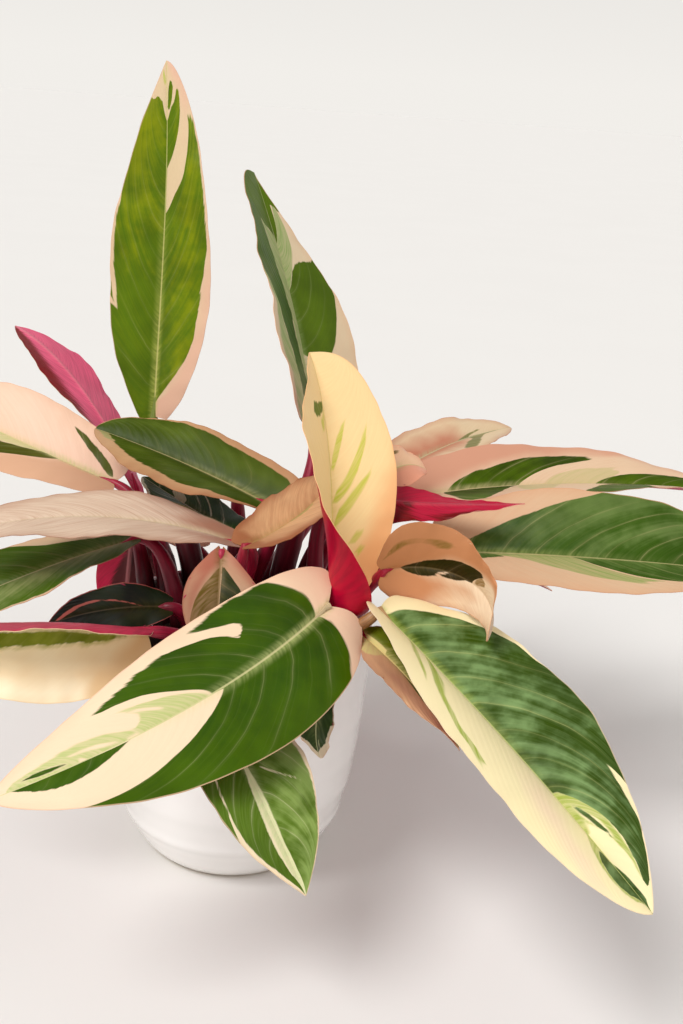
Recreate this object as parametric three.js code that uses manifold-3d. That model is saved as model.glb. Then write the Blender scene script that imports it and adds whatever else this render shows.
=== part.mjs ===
// Stromanthe 'Triostar' prayer plant standing in a glazed round pot.
// Millimetres, +Z up. The pot's axis is the Z axis and its foot stands on Z = 0.
// +X is to the right of someone looking along +Y.
//
// Pieces: the pot, the potting soil that fills it, and one piece for each leaf.
// A leaf is one grown thing: its stalk stands in a plain hole in the soil, swells
// into a joint under the blade, and runs on as the keel below the blade.

import * as THREE from 'three';
import { mergeVertices } from 'three/addons/utils/BufferGeometryUtils.js';
import Module from 'manifold-3d';

const wasm = await Module();
wasm.setup();

const DEGREE = Math.PI / 180;

// ---------------------------------------------------------------- pot
const POT_HEIGHT = 140;
const RIM_RADIUS = 75;
const FOOT_RADIUS = 47.5;
const WALL = 4;
const FLOOR = 7;
const LIP_EASE = 1.2; // the lip is eased by this much on both edges
const RING_RELIEF = 0.7; // how far a throwing ring stands out of the wall
const POT_SIDES = 40;

// ---------------------------------------------------------------- soil
const SOIL_TOP = 122; // where the soil meets the wall
const SOIL_CROWN = 4; // how much higher it is in the middle
const SEAT_GAP = 0.3; // pieces that touch keep this gap
const ROOT_DEPTH = 16; // how deep a stalk stands in the soil
const HOLE_SIDES = 6;

// ---------------------------------------------------------------- leaf
const BLADE_THICKNESS = 0.8;
const KEEL_AT_BASE = 1.6; // the midrib's extra depth under the blade
const KEEL_AT_TIP = 0.2;
const STALK_FOOT_RADIUS = 3.0; // the sheathed lower end
const STALK_RADIUS = 1.7;
const JOINT_RADIUS = 2.1; // the swollen joint just below the blade
const JOINT_LENGTH = 12;
const SQUARE_BASE = 0.03; // the outline's start: how broad the blade begins
const LOBE_SPREAD = 0.72; // where across a half the drawn-back lobe is deepest
const LOBE_FADE = 4; // how soon the lobe ends along the blade
const WAVE_COUNT = 2.6; // waves along an edge, half a wave more on the left
const STALK_SIDES = 5;
const STALK_STEPS = 7;
const STRAIGHT_RISE = 0.4; // share of its way that a stalk first goes straight up
const STALK_UNDER_BLADE = 0.08; // share of the blade that the stalk runs on under
const LARGE_LEAF = 100; // a blade longer than this gets the finer grid
const ACROSS_LARGE = [0, 0.14, 0.56, 1]; // grid lines from midrib to edge
const ACROSS_SMALL = [0, 0.5, 1];
const ALONG_LARGE = 10;
const ALONG_SMALL = 7;
const MIDRIB_STEPS = 44;

const GREEN = 0x4a6a24;
const CREAM = 0xf0dcb4;
const BLUSH = 0xe6b496;
const CRIMSON = 0xa8143c;
const GLAZE_WHITE = 0xf4f3f0;
const SOIL_BROWN = 0x2a211b;

// Each leaf: where its stalk stands in the soil (root), where its blade starts
// (start), the bearing from +X and the rise of the midrib there, how much the
// midrib droops and sways by the tip, and the blade's length and width. The
// blade is rolled about its midrib, and twists further by the tip. Each half
// leaves the midrib at the fold angle and bends on by the curl angle, and where
// foldTip and curlTip are given, both change along the blade, the sooner the
// larger opening is. Angles are in degrees. The base of a half is drawn back
// beside the stalk by lobe. Belly moves the widest place along the blade, blunt
// and point are how narrow its base and how sharp its tip is, share is each half's
// part of the width, and wave is the height of the waves at the edges. A pair of
// values is [left half, right half], seen from the stalk looking to the tip. The
// stalk comes to the blade along the midrib, or with the bearing and rise in
// arrive, over the last part of its way that reach gives.
const LEAF_DEFAULTS = {
  sway: 0, roll: 0, twist: 0, fold: 14, curl: -12, opening: 1, lobe: 4,
  belly: 0.8, blunt: 0.5, point: 0.72, share: [0.5, 0.5], wave: 1.2, reach: 0.3,
};

const LEAVES = [
  { name: 'leaf_tall_left', colour: GREEN, root: [-32, 46], start: [-68, 100, 225],
    bearing: 73, rise: 86, droop: 15, sway: 36, length: 213, width: 72,
    roll: -12, twist: -19, fold: 18, curl: -18, share: [0.48, 0.52], lobe: [4, 0],
    belly: [0.8, 0.66], blunt: [0.74, 1], point: [0.93, 0.62] },
  { name: 'leaf_tall_middle', colour: GREEN, root: [18, 42], start: [33, 66, 231],
    bearing: 104, rise: 48, droop: -8, sway: 29, length: 178, width: 88,
    roll: 35, twist: -34, fold: [29, 6], curl: -2, belly: [0.53, 0.61],
    point: [0.3, 1.38] },
  { name: 'leaf_green_upper_left', colour: GREEN, root: [-2, 22], start: [10, 16, 202],
    bearing: 150, rise: 13, droop: 4, sway: 12, length: 119, width: 66,
    roll: -20, fold: 32, curl: -24, share: [0.56, 0.41],
    lobe: [4, 24], belly: [1, 0.78], blunt: [0.86, 0.25], point: [0.68, 0.53] },
  { name: 'leaf_cream_centre', colour: CREAM, root: [46, -8], start: [50, -28, 162],
    bearing: 97, rise: 82, droop: 42, sway: 19, length: 144, width: 80,
    roll: 24, twist: -5, fold: [39, 14], curl: [185, 20], foldTip: [34, 22],
    curlTip: [-7, -1], opening: 3.6, share: [0.56, 0.46], belly: [0.65, 1.07],
    blunt: [0.42, 0.52], point: [0.86, 0.3] },
  { name: 'leaf_peach_small', colour: BLUSH, root: [6, -14], start: [3, -30, 193],
    bearing: 36, rise: 14, droop: -8, sway: 38, length: 85, width: 40,
    roll: 2, twist: 4, fold: 26, curl: -20, arrive: [40, 75] },
  { name: 'leaf_blush_far_left', colour: BLUSH, root: [-44, 18], start: [-86, 66, 191],
    bearing: 168, rise: 16, droop: 12, sway: -30, length: 165, width: 66,
    roll: -24, twist: -16, fold: 30, curl: -24 },
  { name: 'leaf_beige_left', colour: BLUSH, root: [-10, 4], start: [-1, -6, 185],
    bearing: 178, rise: 16, droop: 34, sway: 14, length: 162, width: 54,
    roll: -4, twist: -20, fold: 14, curl: -8, share: [0.5, 0.4], blunt: 0.8 },
  { name: 'leaf_crimson_back', colour: CRIMSON, root: [-46, 36], start: [-77, 96, 175],
    bearing: 145, rise: 59, droop: 54, sway: -11, length: 163, width: 45,
    roll: -148, twist: -37, fold: 6, curl: -6, share: [0.56, 0.44], belly: 1.06,
    blunt: [0.35, 1.29], point: 0.86 },
  { name: 'leaf_dark_left', colour: GREEN, root: [-34, -4], start: [-63, 10, 177],
    bearing: 194, rise: -16, droop: 12, sway: 4, length: 130, width: 50,
    twist: -50, fold: 10, curl: -10, share: [0.42, 0.5] },
  { name: 'leaf_dark_small', colour: GREEN, root: [-24, -18], start: [-38, -30, 155],
    bearing: 188, rise: 2, droop: 26, sway: -2, length: 64, width: 27,
    roll: -44, twist: -6, fold: 12, curl: -12 },
  { name: 'leaf_tan_low_left', colour: CREAM, root: [-16, -40], start: [-43, -60, 154],
    bearing: 186, rise: 2, droop: 8, length: 140, width: 80,
    roll: -95, fold: [55, 45], curl: [-10, 35], belly: 0.7 },
  { name: 'leaf_front_left', colour: GREEN, root: [24, -40], start: [49, -50, 171],
    bearing: 242, rise: -12, droop: 4, sway: -40, length: 198, width: 80,
    roll: -42, twist: 10, fold: 6, curl: -6, share: [0.5, 0.44],
    belly: 0.7, lobe: [10, 16], arrive: [10, 70] },
  { name: 'leaf_front_right', colour: GREEN, root: [42, -38], start: [76, -43, 168],
    bearing: -46, rise: -19, droop: -3, sway: -13, length: 205, width: 86,
    roll: -10, twist: 23, fold: 35, curl: -30, share: [0.54, 0.46],
    belly: [0.75, 1], blunt: [0.66, 0.56], point: [0.83, 0.51], arrive: [35, 45] },
  { name: 'leaf_under_right', colour: BLUSH, root: [52, -28], start: [67, -41, 153],
    bearing: -46, rise: -12, droop: 5, sway: -20, length: 93, width: 39,
    roll: 9, fold: 36, curl: -26, blunt: [1.1, 1.4], point: 1.24, arrive: [-40, 10] },
  { name: 'leaf_drooping_right', colour: BLUSH, root: [56, 0], start: [77, -26, 183],
    bearing: 23, rise: 12, droop: 39, sway: -138, length: 97, width: 50,
    roll: 93, twist: -18, fold: 18, curl: -10, share: [0.57, 0.41], belly: 0.5,
    blunt: [1.4, 1.07], point: 0.59, arrive: [-60, 55] },
  { name: 'leaf_green_right', colour: GREEN, root: [52, 14], start: [108, 18, 180],
    bearing: -12, rise: 8, droop: 14, sway: 18, length: 200, width: 84,
    roll: 30, fold: 24, curl: -14, share: [0.5, 0.38] },
  { name: 'leaf_pink_right', colour: BLUSH, root: [40, 34], start: [86, 63, 195],
    bearing: 18, rise: 8, droop: 14, sway: -14, length: 224, width: 70,
    roll: 16, twist: -16, fold: 28, curl: -18 },
  { name: 'leaf_pink_back_right', colour: BLUSH, root: [30, 50], start: [77, 100, 194],
    bearing: 45, rise: 19, droop: 22, length: 127, width: 49,
    twist: 16, fold: 22, curl: -16 },
  { name: 'leaf_curled_young', colour: BLUSH, root: [34, 24], start: [69, 30, 211],
    bearing: 36, rise: 49, droop: 85, sway: 9, length: 46, width: 29,
    roll: 31, fold: 16, curl: -10 },
  { name: 'leaf_twisted_right', colour: CRIMSON, root: [42, 10], start: [56, 12, 210],
    bearing: -5, rise: -2, droop: -12, length: 97, width: 30,
    roll: -148, twist: -31, fold: 1, curl: 6, belly: 0.56, blunt: 0.41, point: 1.26 },
  { name: 'leaf_front_low', colour: GREEN, root: [2, -54], start: [-16, -82, 148],
    bearing: -52, rise: -28, droop: 6, sway: -3, length: 128, width: 58, roll: -3,
    twist: 3, fold: 8, curl: -6, share: [0.52, 0.48], belly: 1, point: 0.91,
    arrive: [-80, 20] },
  { name: 'leaf_low_tip', colour: GREEN, root: [38, -47], start: [51, -80, 143],
    bearing: -124, rise: -59, droop: 62, length: 46, width: 22, arrive: [-60, -40],
    reach: 0.5 },
  { name: 'leaf_hanging_centre', colour: BLUSH, root: [-10, -30], start: [-8, -42, 193],
    bearing: -86, rise: -35, droop: 46, length: 57, width: 40, roll: -6,
    share: [0.54, 0.46], belly: 1, blunt: [1.2, 0.9], arrive: [-88, 75] },
  { name: 'leaf_striped_inner', colour: GREEN, root: [-20, 18], start: [-1, 6, 183],
    bearing: 143, rise: 10, droop: 4, sway: -10, length: 92, width: 38 },
  { name: 'leaf_hanging_back_left', colour: CRIMSON, root: [-56, 20], start: [-70, 44, 167],
    bearing: 112, rise: -64, droop: 20, length: 84, width: 38, roll: 6 },
  { name: 'leaf_back_middle', colour: GREEN, root: [-8, 54], start: [-12, 70, 186],
    bearing: 104, rise: 10, droop: 44, length: 160, width: 56 },
  { name: 'leaf_back_right', colour: BLUSH, root: [12, 58], start: [34, 82, 172],
    bearing: 72, rise: 12, droop: 50, length: 150, width: 54 },
  { name: 'leaf_back_left', colour: GREEN, root: [-22, 56], start: [-38, 74, 150],
    bearing: 128, rise: 4, droop: 34, length: 130, width: 48 },
  { name: 'leaf_back_low_right', colour: GREEN, root: [56, 28], start: [84, 40, 160],
    bearing: 24, rise: 2, droop: 30, length: 120, width: 48 },
];

/** A value for [left, right]: a pair as it is, one number for both. */
function pair(value) {
  return Array.isArray(value) ? value : [value, value];
}

function mix(a, b, share) {
  return a + (b - a) * share;
}

// ---------------------------------------------------------------- solids

/** An indexed geometry of the given points and triangles, without collapsed triangles. */
function geometryOf(points, triangles) {
  const geometry = new THREE.BufferGeometry().setFromPoints(points);
  const faces = triangles.filter(([a, b, c]) => a !== b && b !== c && c !== a);
  geometry.setIndex(faces.flat());
  return geometry;
}

/** The solid inside a closed geometry. */
function solidOf(geometry) {
  const bare = geometry.clone();
  bare.deleteAttribute('normal');
  bare.deleteAttribute('uv');
  const merged = mergeVertices(bare);
  const corners = merged.getIndex().array;
  const kept = [];
  for (let i = 0; i < corners.length; i += 3) {
    const [a, b, c] = [corners[i], corners[i + 1], corners[i + 2]];
    if (a !== b && b !== c && c !== a) kept.push(a, b, c);
  }
  return new wasm.Manifold(new wasm.Mesh({
    numProp: 3,
    vertProperties: new Float32Array(merged.getAttribute('position').array),
    triVerts: new Uint32Array(kept),
  }));
}

/** The surface of a solid, as a geometry. */
function geometryFrom(solid) {
  const mesh = solid.getMesh();
  const geometry = new THREE.BufferGeometry();
  geometry.setAttribute('position', new THREE.BufferAttribute(mesh.vertProperties, 3));
  geometry.setIndex(new THREE.BufferAttribute(mesh.triVerts, 1));
  geometry.computeVertexNormals();
  return geometry;
}

function meshOf(name, geometry, colour, roughness) {
  const material = new THREE.MeshStandardMaterial({ color: colour, roughness, metalness: 0 });
  const mesh = new THREE.Mesh(geometry, material);
  mesh.name = name;
  return mesh;
}

/** A body of revolution about +Z, from a list of [radius, height]. */
function turned(outline) {
  const profile = outline.map(([radius, height]) => new THREE.Vector2(radius, height));
  return new THREE.LatheGeometry(profile, POT_SIDES).rotateX(90 * DEGREE);
}

// ---------------------------------------------------------------- pot and soil

/** The wall's outer radius by height: the body swells fast above the foot. */
const WALL_OUTLINE = [
  [FOOT_RADIUS, 0], [54, 6], [59.5, 16], [63.2, 22],
  [64 + RING_RELIEF, 27], [65.2, 33], [69.1, 50], [71.7, 75], [73.4, 100],
];

/** The inner wall follows the outer one, a wall's thickness in. */
function innerRadiusAt(height) {
  for (let i = 1; i < WALL_OUTLINE.length; i += 1) {
    const [lowRadius, low] = WALL_OUTLINE[i - 1];
    const [highRadius, high] = WALL_OUTLINE[i];
    if (height <= high) return mix(lowRadius, highRadius, (height - low) / (high - low)) - WALL;
  }
  const [lastRadius, last] = WALL_OUTLINE[WALL_OUTLINE.length - 1];
  return mix(lastRadius, RIM_RADIUS, (height - last) / (POT_HEIGHT - last)) - WALL;
}

function makePot() {
  const innerHeights = [100, 75, 50, 33, 16, FLOOR];
  const outline = [
    [0, 0],
    ...WALL_OUTLINE,
    [RIM_RADIUS, POT_HEIGHT - LIP_EASE],
    [RIM_RADIUS - LIP_EASE, POT_HEIGHT],
    [RIM_RADIUS - WALL + LIP_EASE, POT_HEIGHT],
    [RIM_RADIUS - WALL, POT_HEIGHT - LIP_EASE],
    ...innerHeights.map((height) => [innerRadiusAt(height), height]),
    [0, FLOOR],
  ];
  return turned(outline);
}

/** The soil fills the pot to a low crown, with a plain hole for each stalk. */
function makeSoil() {
  const wallHeights = [FLOOR + SEAT_GAP, 16, 33, 50, 75, 100, SOIL_TOP];
  const outline = [
    [0, FLOOR + SEAT_GAP],
    ...wallHeights.map((height) => [innerRadiusAt(height) - SEAT_GAP, height]),
    [52, SOIL_TOP + 0.4 * SOIL_CROWN], // the crown's soft shoulder
    [24, SOIL_TOP + 0.9 * SOIL_CROWN],
    [0, SOIL_TOP + SOIL_CROWN],
  ];
  let soil = solidOf(turned(outline));
  const clear = (STALK_FOOT_RADIUS + SEAT_GAP) / Math.cos(Math.PI / HOLE_SIDES);
  for (const leaf of LEAVES) {
    const [x, y] = leaf.root;
    const depth = ROOT_DEPTH + 2 * SEAT_GAP;
    const hole = new THREE.CylinderGeometry(clear, clear, 2 * depth, HOLE_SIDES)
      .rotateX(90 * DEGREE)
      .translate(x, y, SOIL_TOP);
    soil = soil.subtract(solidOf(hole));
  }
  return geometryFrom(soil);
}

// ---------------------------------------------------------------- leaf shape

/** The midrib's direction and the blade's left and up at a share of its length. */
function frameAt(leaf, share) {
  const bearing = (leaf.bearing + leaf.sway * share) * DEGREE;
  const rise = (leaf.rise - leaf.droop * share) * DEGREE;
  const level = Math.cos(rise);
  const along = new THREE.Vector3(
    level * Math.cos(bearing), level * Math.sin(bearing), Math.sin(rise),
  );
  const left = new THREE.Vector3(-Math.sin(bearing), Math.cos(bearing), 0)
    .applyAxisAngle(along, (leaf.roll + leaf.twist * share) * DEGREE);
  const up = new THREE.Vector3().crossVectors(along, left);
  return { along, left, up };
}

/** Points of the midrib from the blade's start to its tip, stepped along its direction. */
function midribOf(leaf) {
  const points = [new THREE.Vector3(...leaf.start)];
  const step = leaf.length / MIDRIB_STEPS;
  for (let i = 0; i < MIDRIB_STEPS; i += 1) {
    const { along } = frameAt(leaf, (i + 0.5) / MIDRIB_STEPS);
    points.push(points[i].clone().addScaledVector(along, step));
  }
  return points;
}

function midribAt(points, share) {
  const place = share * (points.length - 1);
  const index = Math.min(Math.floor(place), points.length - 2);
  return points[index].clone().lerp(points[index + 1], place - index);
}

/** The outline of a half, 0 left or 1 right: full after the base, then drawn to a point. */
function fullness(leaf, share, half) {
  const along = mix(SQUARE_BASE, 1, share);
  const sharpness = mix(pair(leaf.blunt)[half], pair(leaf.point)[half], share);
  return Math.max(Math.sin(Math.PI * along ** pair(leaf.belly)[half]), 0) ** sharpness;
}

/**
 * A point of the blade's middle surface and its normal. Across is 1 at the left
 * edge and -1 at the right. Each half is an arc that leaves the midrib at the
 * fold angle and bends by the curl angle, with waves that grow to the edge, and
 * the base of each half is drawn back beside the stalk as a rounded lobe.
 */
function bladePoint(leaf, midrib, share, across) {
  const { along, left, up } = frameAt(leaf, share);
  const half = across >= 0 ? 0 : 1;
  const side = across >= 0 ? 1 : -1;
  const t = Math.abs(across);
  const opened = 1 - (1 - share) ** leaf.opening;
  const fold = mix(pair(leaf.fold)[half], pair(leaf.foldTip ?? leaf.fold)[half], opened) * DEGREE;
  const bend = mix(pair(leaf.curl)[half], pair(leaf.curlTip ?? leaf.curl)[half], opened) * DEGREE;
  const curl = Math.abs(bend) < 1e-3 ? 1e-3 : bend;
  const reach = leaf.width * pair(leaf.share)[half] * fullness(leaf, share, half);
  const out = (reach / curl) * (Math.sin(fold + curl * t) - Math.sin(fold));
  const lift = (reach / curl) * (Math.cos(fold) - Math.cos(fold + curl * t));
  const slope = fold + curl * t;
  const waves = WAVE_COUNT + 0.5 * side;
  const ripple = leaf.wave * t * t * Math.min(1, 4 * (1 - share))
    * Math.sin(2 * Math.PI * (waves * share + leaf.width / 7 + 0.3 * side));
  const lobeHere = Math.sin(LOBE_SPREAD * Math.PI * t) * (1 - share) ** LOBE_FADE;
  const drawnBack = pair(leaf.lobe)[half] * lobeHere;
  const normal = up.clone().multiplyScalar(Math.cos(slope))
    .addScaledVector(left, -side * Math.sin(slope));
  if (t === 0) normal.copy(up);
  const point = midribAt(midrib, share)
    .addScaledVector(left, side * out)
    .addScaledVector(up, lift)
    .addScaledVector(normal, ripple)
    .addScaledVector(along, -drawnBack);
  return { point, normal };
}

/** The blade: an upper and a lower face, split alike, a rim, and one point at the tip. */
function makeBlade(leaf, midrib) {
  const large = leaf.length > LARGE_LEAF;
  const steps = large ? ALONG_LARGE : ALONG_SMALL;
  const halfLines = large ? ACROSS_LARGE : ACROSS_SMALL;
  const lines = [...halfLines.slice(1).reverse(), ...halfLines.map((t) => -t)];
  const columns = lines.length;
  const points = [];
  for (const face of [0.5, -0.5]) {
    for (let i = 0; i < steps; i += 1) {
      for (const across of lines) {
        const share = i / steps;
        const { point, normal } = bladePoint(leaf, midrib, share, across);
        const keel = across === 0 && face < 0 ? mix(KEEL_AT_BASE, KEEL_AT_TIP, share) : 0;
        points.push(point.addScaledVector(normal, face * BLADE_THICKNESS - keel));
      }
    }
    const { point, normal } = bladePoint(leaf, midrib, 1, 0);
    points.push(point.addScaledVector(normal, face * BLADE_THICKNESS));
  }
  const faceSize = steps * columns + 1;
  const top = (i, j) => (i === steps ? faceSize - 1 : i * columns + j);
  const bottom = (i, j) => faceSize + top(i, j);
  const triangles = [];
  const quad = (a, b, c, d) => triangles.push([a, b, c], [a, c, d]);
  for (let i = 0; i < steps; i += 1) {
    for (let j = 0; j < columns - 1; j += 1) {
      triangles.push([top(i, j), top(i, j + 1), top(i + 1, j + 1)]);
      triangles.push([top(i, j), top(i + 1, j + 1), top(i + 1, j)]);
      triangles.push([bottom(i, j), bottom(i + 1, j + 1), bottom(i, j + 1)]);
      triangles.push([bottom(i, j), bottom(i + 1, j), bottom(i + 1, j + 1)]);
    }
    const last = columns - 1;
    quad(top(i, 0), top(i + 1, 0), bottom(i + 1, 0), bottom(i, 0));
    quad(top(i, last), bottom(i, last), bottom(i + 1, last), top(i + 1, last));
  }
  for (let j = 0; j < columns - 1; j += 1) {
    quad(top(0, j), bottom(0, j), bottom(0, j + 1), top(0, j + 1));
  }
  return geometryOf(points, triangles);
}

/** The stalk's line: straight up out of the soil, a smooth bend, then along the midrib. */
function stalkLine(leaf, midrib) {
  const foot = new THREE.Vector3(...leaf.root, SOIL_TOP - ROOT_DEPTH);
  const collar = new THREE.Vector3(...leaf.root, SOIL_TOP + SOIL_CROWN);
  const start = midrib[0];
  const along = leaf.arrive
    ? frameAt({ ...leaf, bearing: leaf.arrive[0], rise: leaf.arrive[1] }, 0).along
    : frameAt(leaf, 0).along;
  const span = start.distanceTo(collar);
  const rising = new THREE.Vector3(0, 0, STRAIGHT_RISE * span).add(collar);
  const arriving = start.clone().addScaledVector(along, -leaf.reach * span);
  const bend = new THREE.CubicBezierCurve3(collar, rising, arriving, start);
  const bendPoints = bend.getPoints(STALK_STEPS);
  const under = midribAt(midrib, STALK_UNDER_BLADE);
  return [foot, ...bendPoints, under];
}

/** A round bar of changing radius along a line of points, closed at both ends. */
function makeBar(line, radii) {
  const points = [];
  const triangles = [];
  let across = new THREE.Vector3(1, 0, 0);
  line.forEach((centre, i) => {
    const before = line[Math.max(i - 1, 0)];
    const after = line[Math.min(i + 1, line.length - 1)];
    const along = after.clone().sub(before).normalize();
    across = across.clone().addScaledVector(along, -across.dot(along)).normalize();
    const other = new THREE.Vector3().crossVectors(along, across);
    for (let k = 0; k < STALK_SIDES; k += 1) {
      const angle = (2 * Math.PI * k) / STALK_SIDES;
      points.push(centre.clone()
        .addScaledVector(across, radii[i] * Math.cos(angle))
        .addScaledVector(other, radii[i] * Math.sin(angle)));
    }
  });
  const ring = (i, k) => i * STALK_SIDES + (k % STALK_SIDES);
  for (let i = 0; i < line.length - 1; i += 1) {
    for (let k = 0; k < STALK_SIDES; k += 1) {
      triangles.push([ring(i, k), ring(i, k + 1), ring(i + 1, k + 1)]);
      triangles.push([ring(i, k), ring(i + 1, k + 1), ring(i + 1, k)]);
    }
  }
  const lastRing = line.length - 1;
  for (let k = 1; k < STALK_SIDES - 1; k += 1) {
    triangles.push([ring(0, 0), ring(0, k + 1), ring(0, k)]);
    triangles.push([ring(lastRing, 0), ring(lastRing, k), ring(lastRing, k + 1)]);
  }
  return geometryOf(points, triangles);
}

/** The stalk's radius: a sheath at the foot, slim above it, a swollen joint at the blade. */
function stalkRadii(line) {
  const ends = [STALK_FOOT_RADIUS, STALK_FOOT_RADIUS];
  const start = line[line.length - 2];
  const middle = line.slice(2, -1).map((point, i, all) => {
    const slim = mix(STALK_FOOT_RADIUS, STALK_RADIUS, Math.min(1, 1.5 * ((i + 1) / all.length)));
    return point.distanceTo(start) < JOINT_LENGTH ? JOINT_RADIUS : slim;
  });
  return [...ends, ...middle, KEEL_AT_BASE / 2];
}

function makeLeaf(settings) {
  const leaf = { ...LEAF_DEFAULTS, ...settings };
  const midrib = midribOf(leaf);
  const line = stalkLine(leaf, midrib);
  const stalk = solidOf(makeBar(line, stalkRadii(line)));
  const blade = solidOf(makeBlade(leaf, midrib));
  return meshOf(leaf.name, geometryFrom(stalk.add(blade)), leaf.colour, 0.45);
}

// ---------------------------------------------------------------- the whole plant

const plant = new THREE.Group();
plant.add(meshOf('pot', makePot(), GLAZE_WHITE, 0.2));
plant.add(meshOf('soil', makeSoil(), SOIL_BROWN, 0.95));
for (const leaf of LEAVES) plant.add(makeLeaf(leaf));

export default plant;
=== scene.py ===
"""A potted stromanthe with variegated leaves, put together from the pot upwards."""

import itertools
import math

import bpy
import numpy as np
from mathutils import Matrix, Vector


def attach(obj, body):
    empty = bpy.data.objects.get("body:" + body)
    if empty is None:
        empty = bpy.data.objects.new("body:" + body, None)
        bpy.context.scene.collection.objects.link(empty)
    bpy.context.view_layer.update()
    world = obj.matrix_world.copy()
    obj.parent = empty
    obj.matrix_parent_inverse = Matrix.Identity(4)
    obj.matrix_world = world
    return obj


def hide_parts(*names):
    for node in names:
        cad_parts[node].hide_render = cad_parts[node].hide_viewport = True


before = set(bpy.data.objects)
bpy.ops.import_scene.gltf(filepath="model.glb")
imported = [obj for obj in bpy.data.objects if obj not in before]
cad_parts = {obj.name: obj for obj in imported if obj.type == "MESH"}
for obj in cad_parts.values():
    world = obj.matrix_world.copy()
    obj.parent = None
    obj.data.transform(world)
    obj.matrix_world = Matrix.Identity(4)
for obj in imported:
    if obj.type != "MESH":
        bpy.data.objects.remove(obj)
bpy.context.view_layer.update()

# ---------------------------------------------------------------------------
# Pot. A round stoneware pot thrown on a wheel: soft rings stay in the wall and
# the lip is rolled over. It is dipped in white gloss glaze, which is wiped off
# the ring that it stands on.

MM = 0.001
POT_HEIGHT = 140.0
RIM_RADIUS = 75.0
FOOT_RADIUS = 47.5
POT_WALL = 4.0
LIP = POT_WALL / 2  # the lip's half round
POT_FLOOR = 7.0
INNER_CORNER = 3.0
FOOT_RECESS = 2.0  # how far the bottom is hollowed inside the foot ring
FOOT_RING = 7.0  # how broad the foot ring is
FOOT_BEVEL = 0.8
POT_SIDES = 192
# The outer wall, as radius by height
WALL_HEIGHTS = [0, 6, 16, 22, 27, 33, 50, 75, 100, 140]
WALL_RADII = [FOOT_RADIUS, 54, 59.5, 62.6, 64.0, 65.4, 69.1, 71.7, 73.4, 75]
# Throwing rings: height, relief and half breadth
THROWING_RINGS = [
    (26, 0.75, 3.2), (46, 0.35, 4.5), (67, 0.3, 5.5), (89, 0.28, 6), (113, 0.25, 6),
]


def linear(hex_colour):
    """An sRGB colour such as #FFEEDD as linear red, green, blue and full alpha."""
    coded = np.array([int(hex_colour[i : i + 2], 16) / 255 for i in (1, 3, 5)])
    light = np.where(coded <= 0.04045, coded / 12.92, ((coded + 0.055) / 1.055) ** 2.4)
    return (*light.tolist(), 1.0)


class Wire:
    """A node's output in a finish. Its sums and products are Math nodes."""

    def __init__(self, finish, socket):
        self.finish, self.socket = finish, socket

    def __add__(self, other):
        return self.finish.node("Math", {0: self, 1: other}, operation="ADD")

    def __sub__(self, number):
        return self + -number

    def __mul__(self, other):
        return self.finish.node("Math", {0: self, 1: other}, operation="MULTIPLY")

    def rise(self, low, high, bottom=0.0, top=1.0):
        """A soft step: bottom while this is under low, top once it is over high."""
        limits = {0: self, 1: low, 2: high, 3: bottom, 4: top}
        return self.finish.node("MapRange", limits, interpolation_type="SMOOTHSTEP")

    def split(self, part):
        return self.finish.node("SeparateXYZ", {0: self}, out=part)


class Finish:
    """A material put together node by node around one Principled shader."""

    def __init__(self, name, **sockets):
        self.material = bpy.data.materials.new(name)
        self.material.use_nodes = True
        self.tree = self.material.node_tree
        self.shader = self.tree.nodes["Principled BSDF"]
        self.set(**sockets)

    def set(self, **sockets):
        """Joins or sets the shader's sockets, named with _ for a space."""
        for name, value in sockets.items():
            self.join(value, self.shader.inputs[name.replace("_", " ")])

    def join(self, value, socket):
        """Links a wire to the socket, or sets the socket to a number or a hex colour."""
        if isinstance(value, Wire):
            self.tree.links.new(value.socket, socket)
        else:
            socket.default_value = linear(value) if isinstance(value, str) else value

    def node(self, kind, inputs, out=0, **settings):
        """A node of that kind, with the given inputs by name or number. Returns one output."""
        made = self.tree.nodes.new("ShaderNode" + kind)
        for key, value in settings.items():
            setattr(made, key, value)
        for key, value in inputs.items():
            self.join(value, made.inputs[key])
        return Wire(self, made.outputs[out])

    def blend(self, share, a, b):
        """Colour a going over to colour b by share."""
        return self.node("Mix", {0: share, 6: a, 7: b}, out=2, data_type="RGBA")

    def noise(self, place, scale, detail=3.0, roughness=0.5):
        settings = {"Vector": place, "Scale": scale, "Detail": detail, "Roughness": roughness}
        return self.node("TexNoise", settings)

    def place(self):
        """The point on the piece, in metres."""
        return self.node("TexCoord", {}, out=3)

    def point(self, x, y, z=0.0):
        return self.node("CombineXYZ", {0: x, 1: y, 2: z})

    def field(self, name):
        """A number that the mesh holds at each of its points."""
        return self.node("Attribute", {}, out=2, attribute_name=name)

    def bump(self, height, strength, distance):
        relief = {"Height": height, "Strength": strength, "Distance": distance}
        self.set(Normal=self.node("Bump", relief))


def piece_of(name, points, faces, finishes, finish_of_face=None, sharp_over=60):
    """A smooth mesh object at the origin, from points in millimetres and lists of corners."""
    mesh = bpy.data.meshes.new(name)
    mesh.from_pydata((np.asarray(points) * MM).tolist(), [], faces)
    mesh.polygons.foreach_set("use_smooth", np.ones(len(faces), dtype=bool))
    for finish in finishes:
        mesh.materials.append(finish.material)
    if finish_of_face is not None:
        mesh.polygons.foreach_set("material_index", np.asarray(finish_of_face, dtype=np.int32))
    mesh.set_sharp_from_angle(angle=math.radians(sharp_over))
    piece = bpy.data.objects.new(name, mesh)
    bpy.context.scene.collection.objects.link(piece)
    return piece


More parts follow.
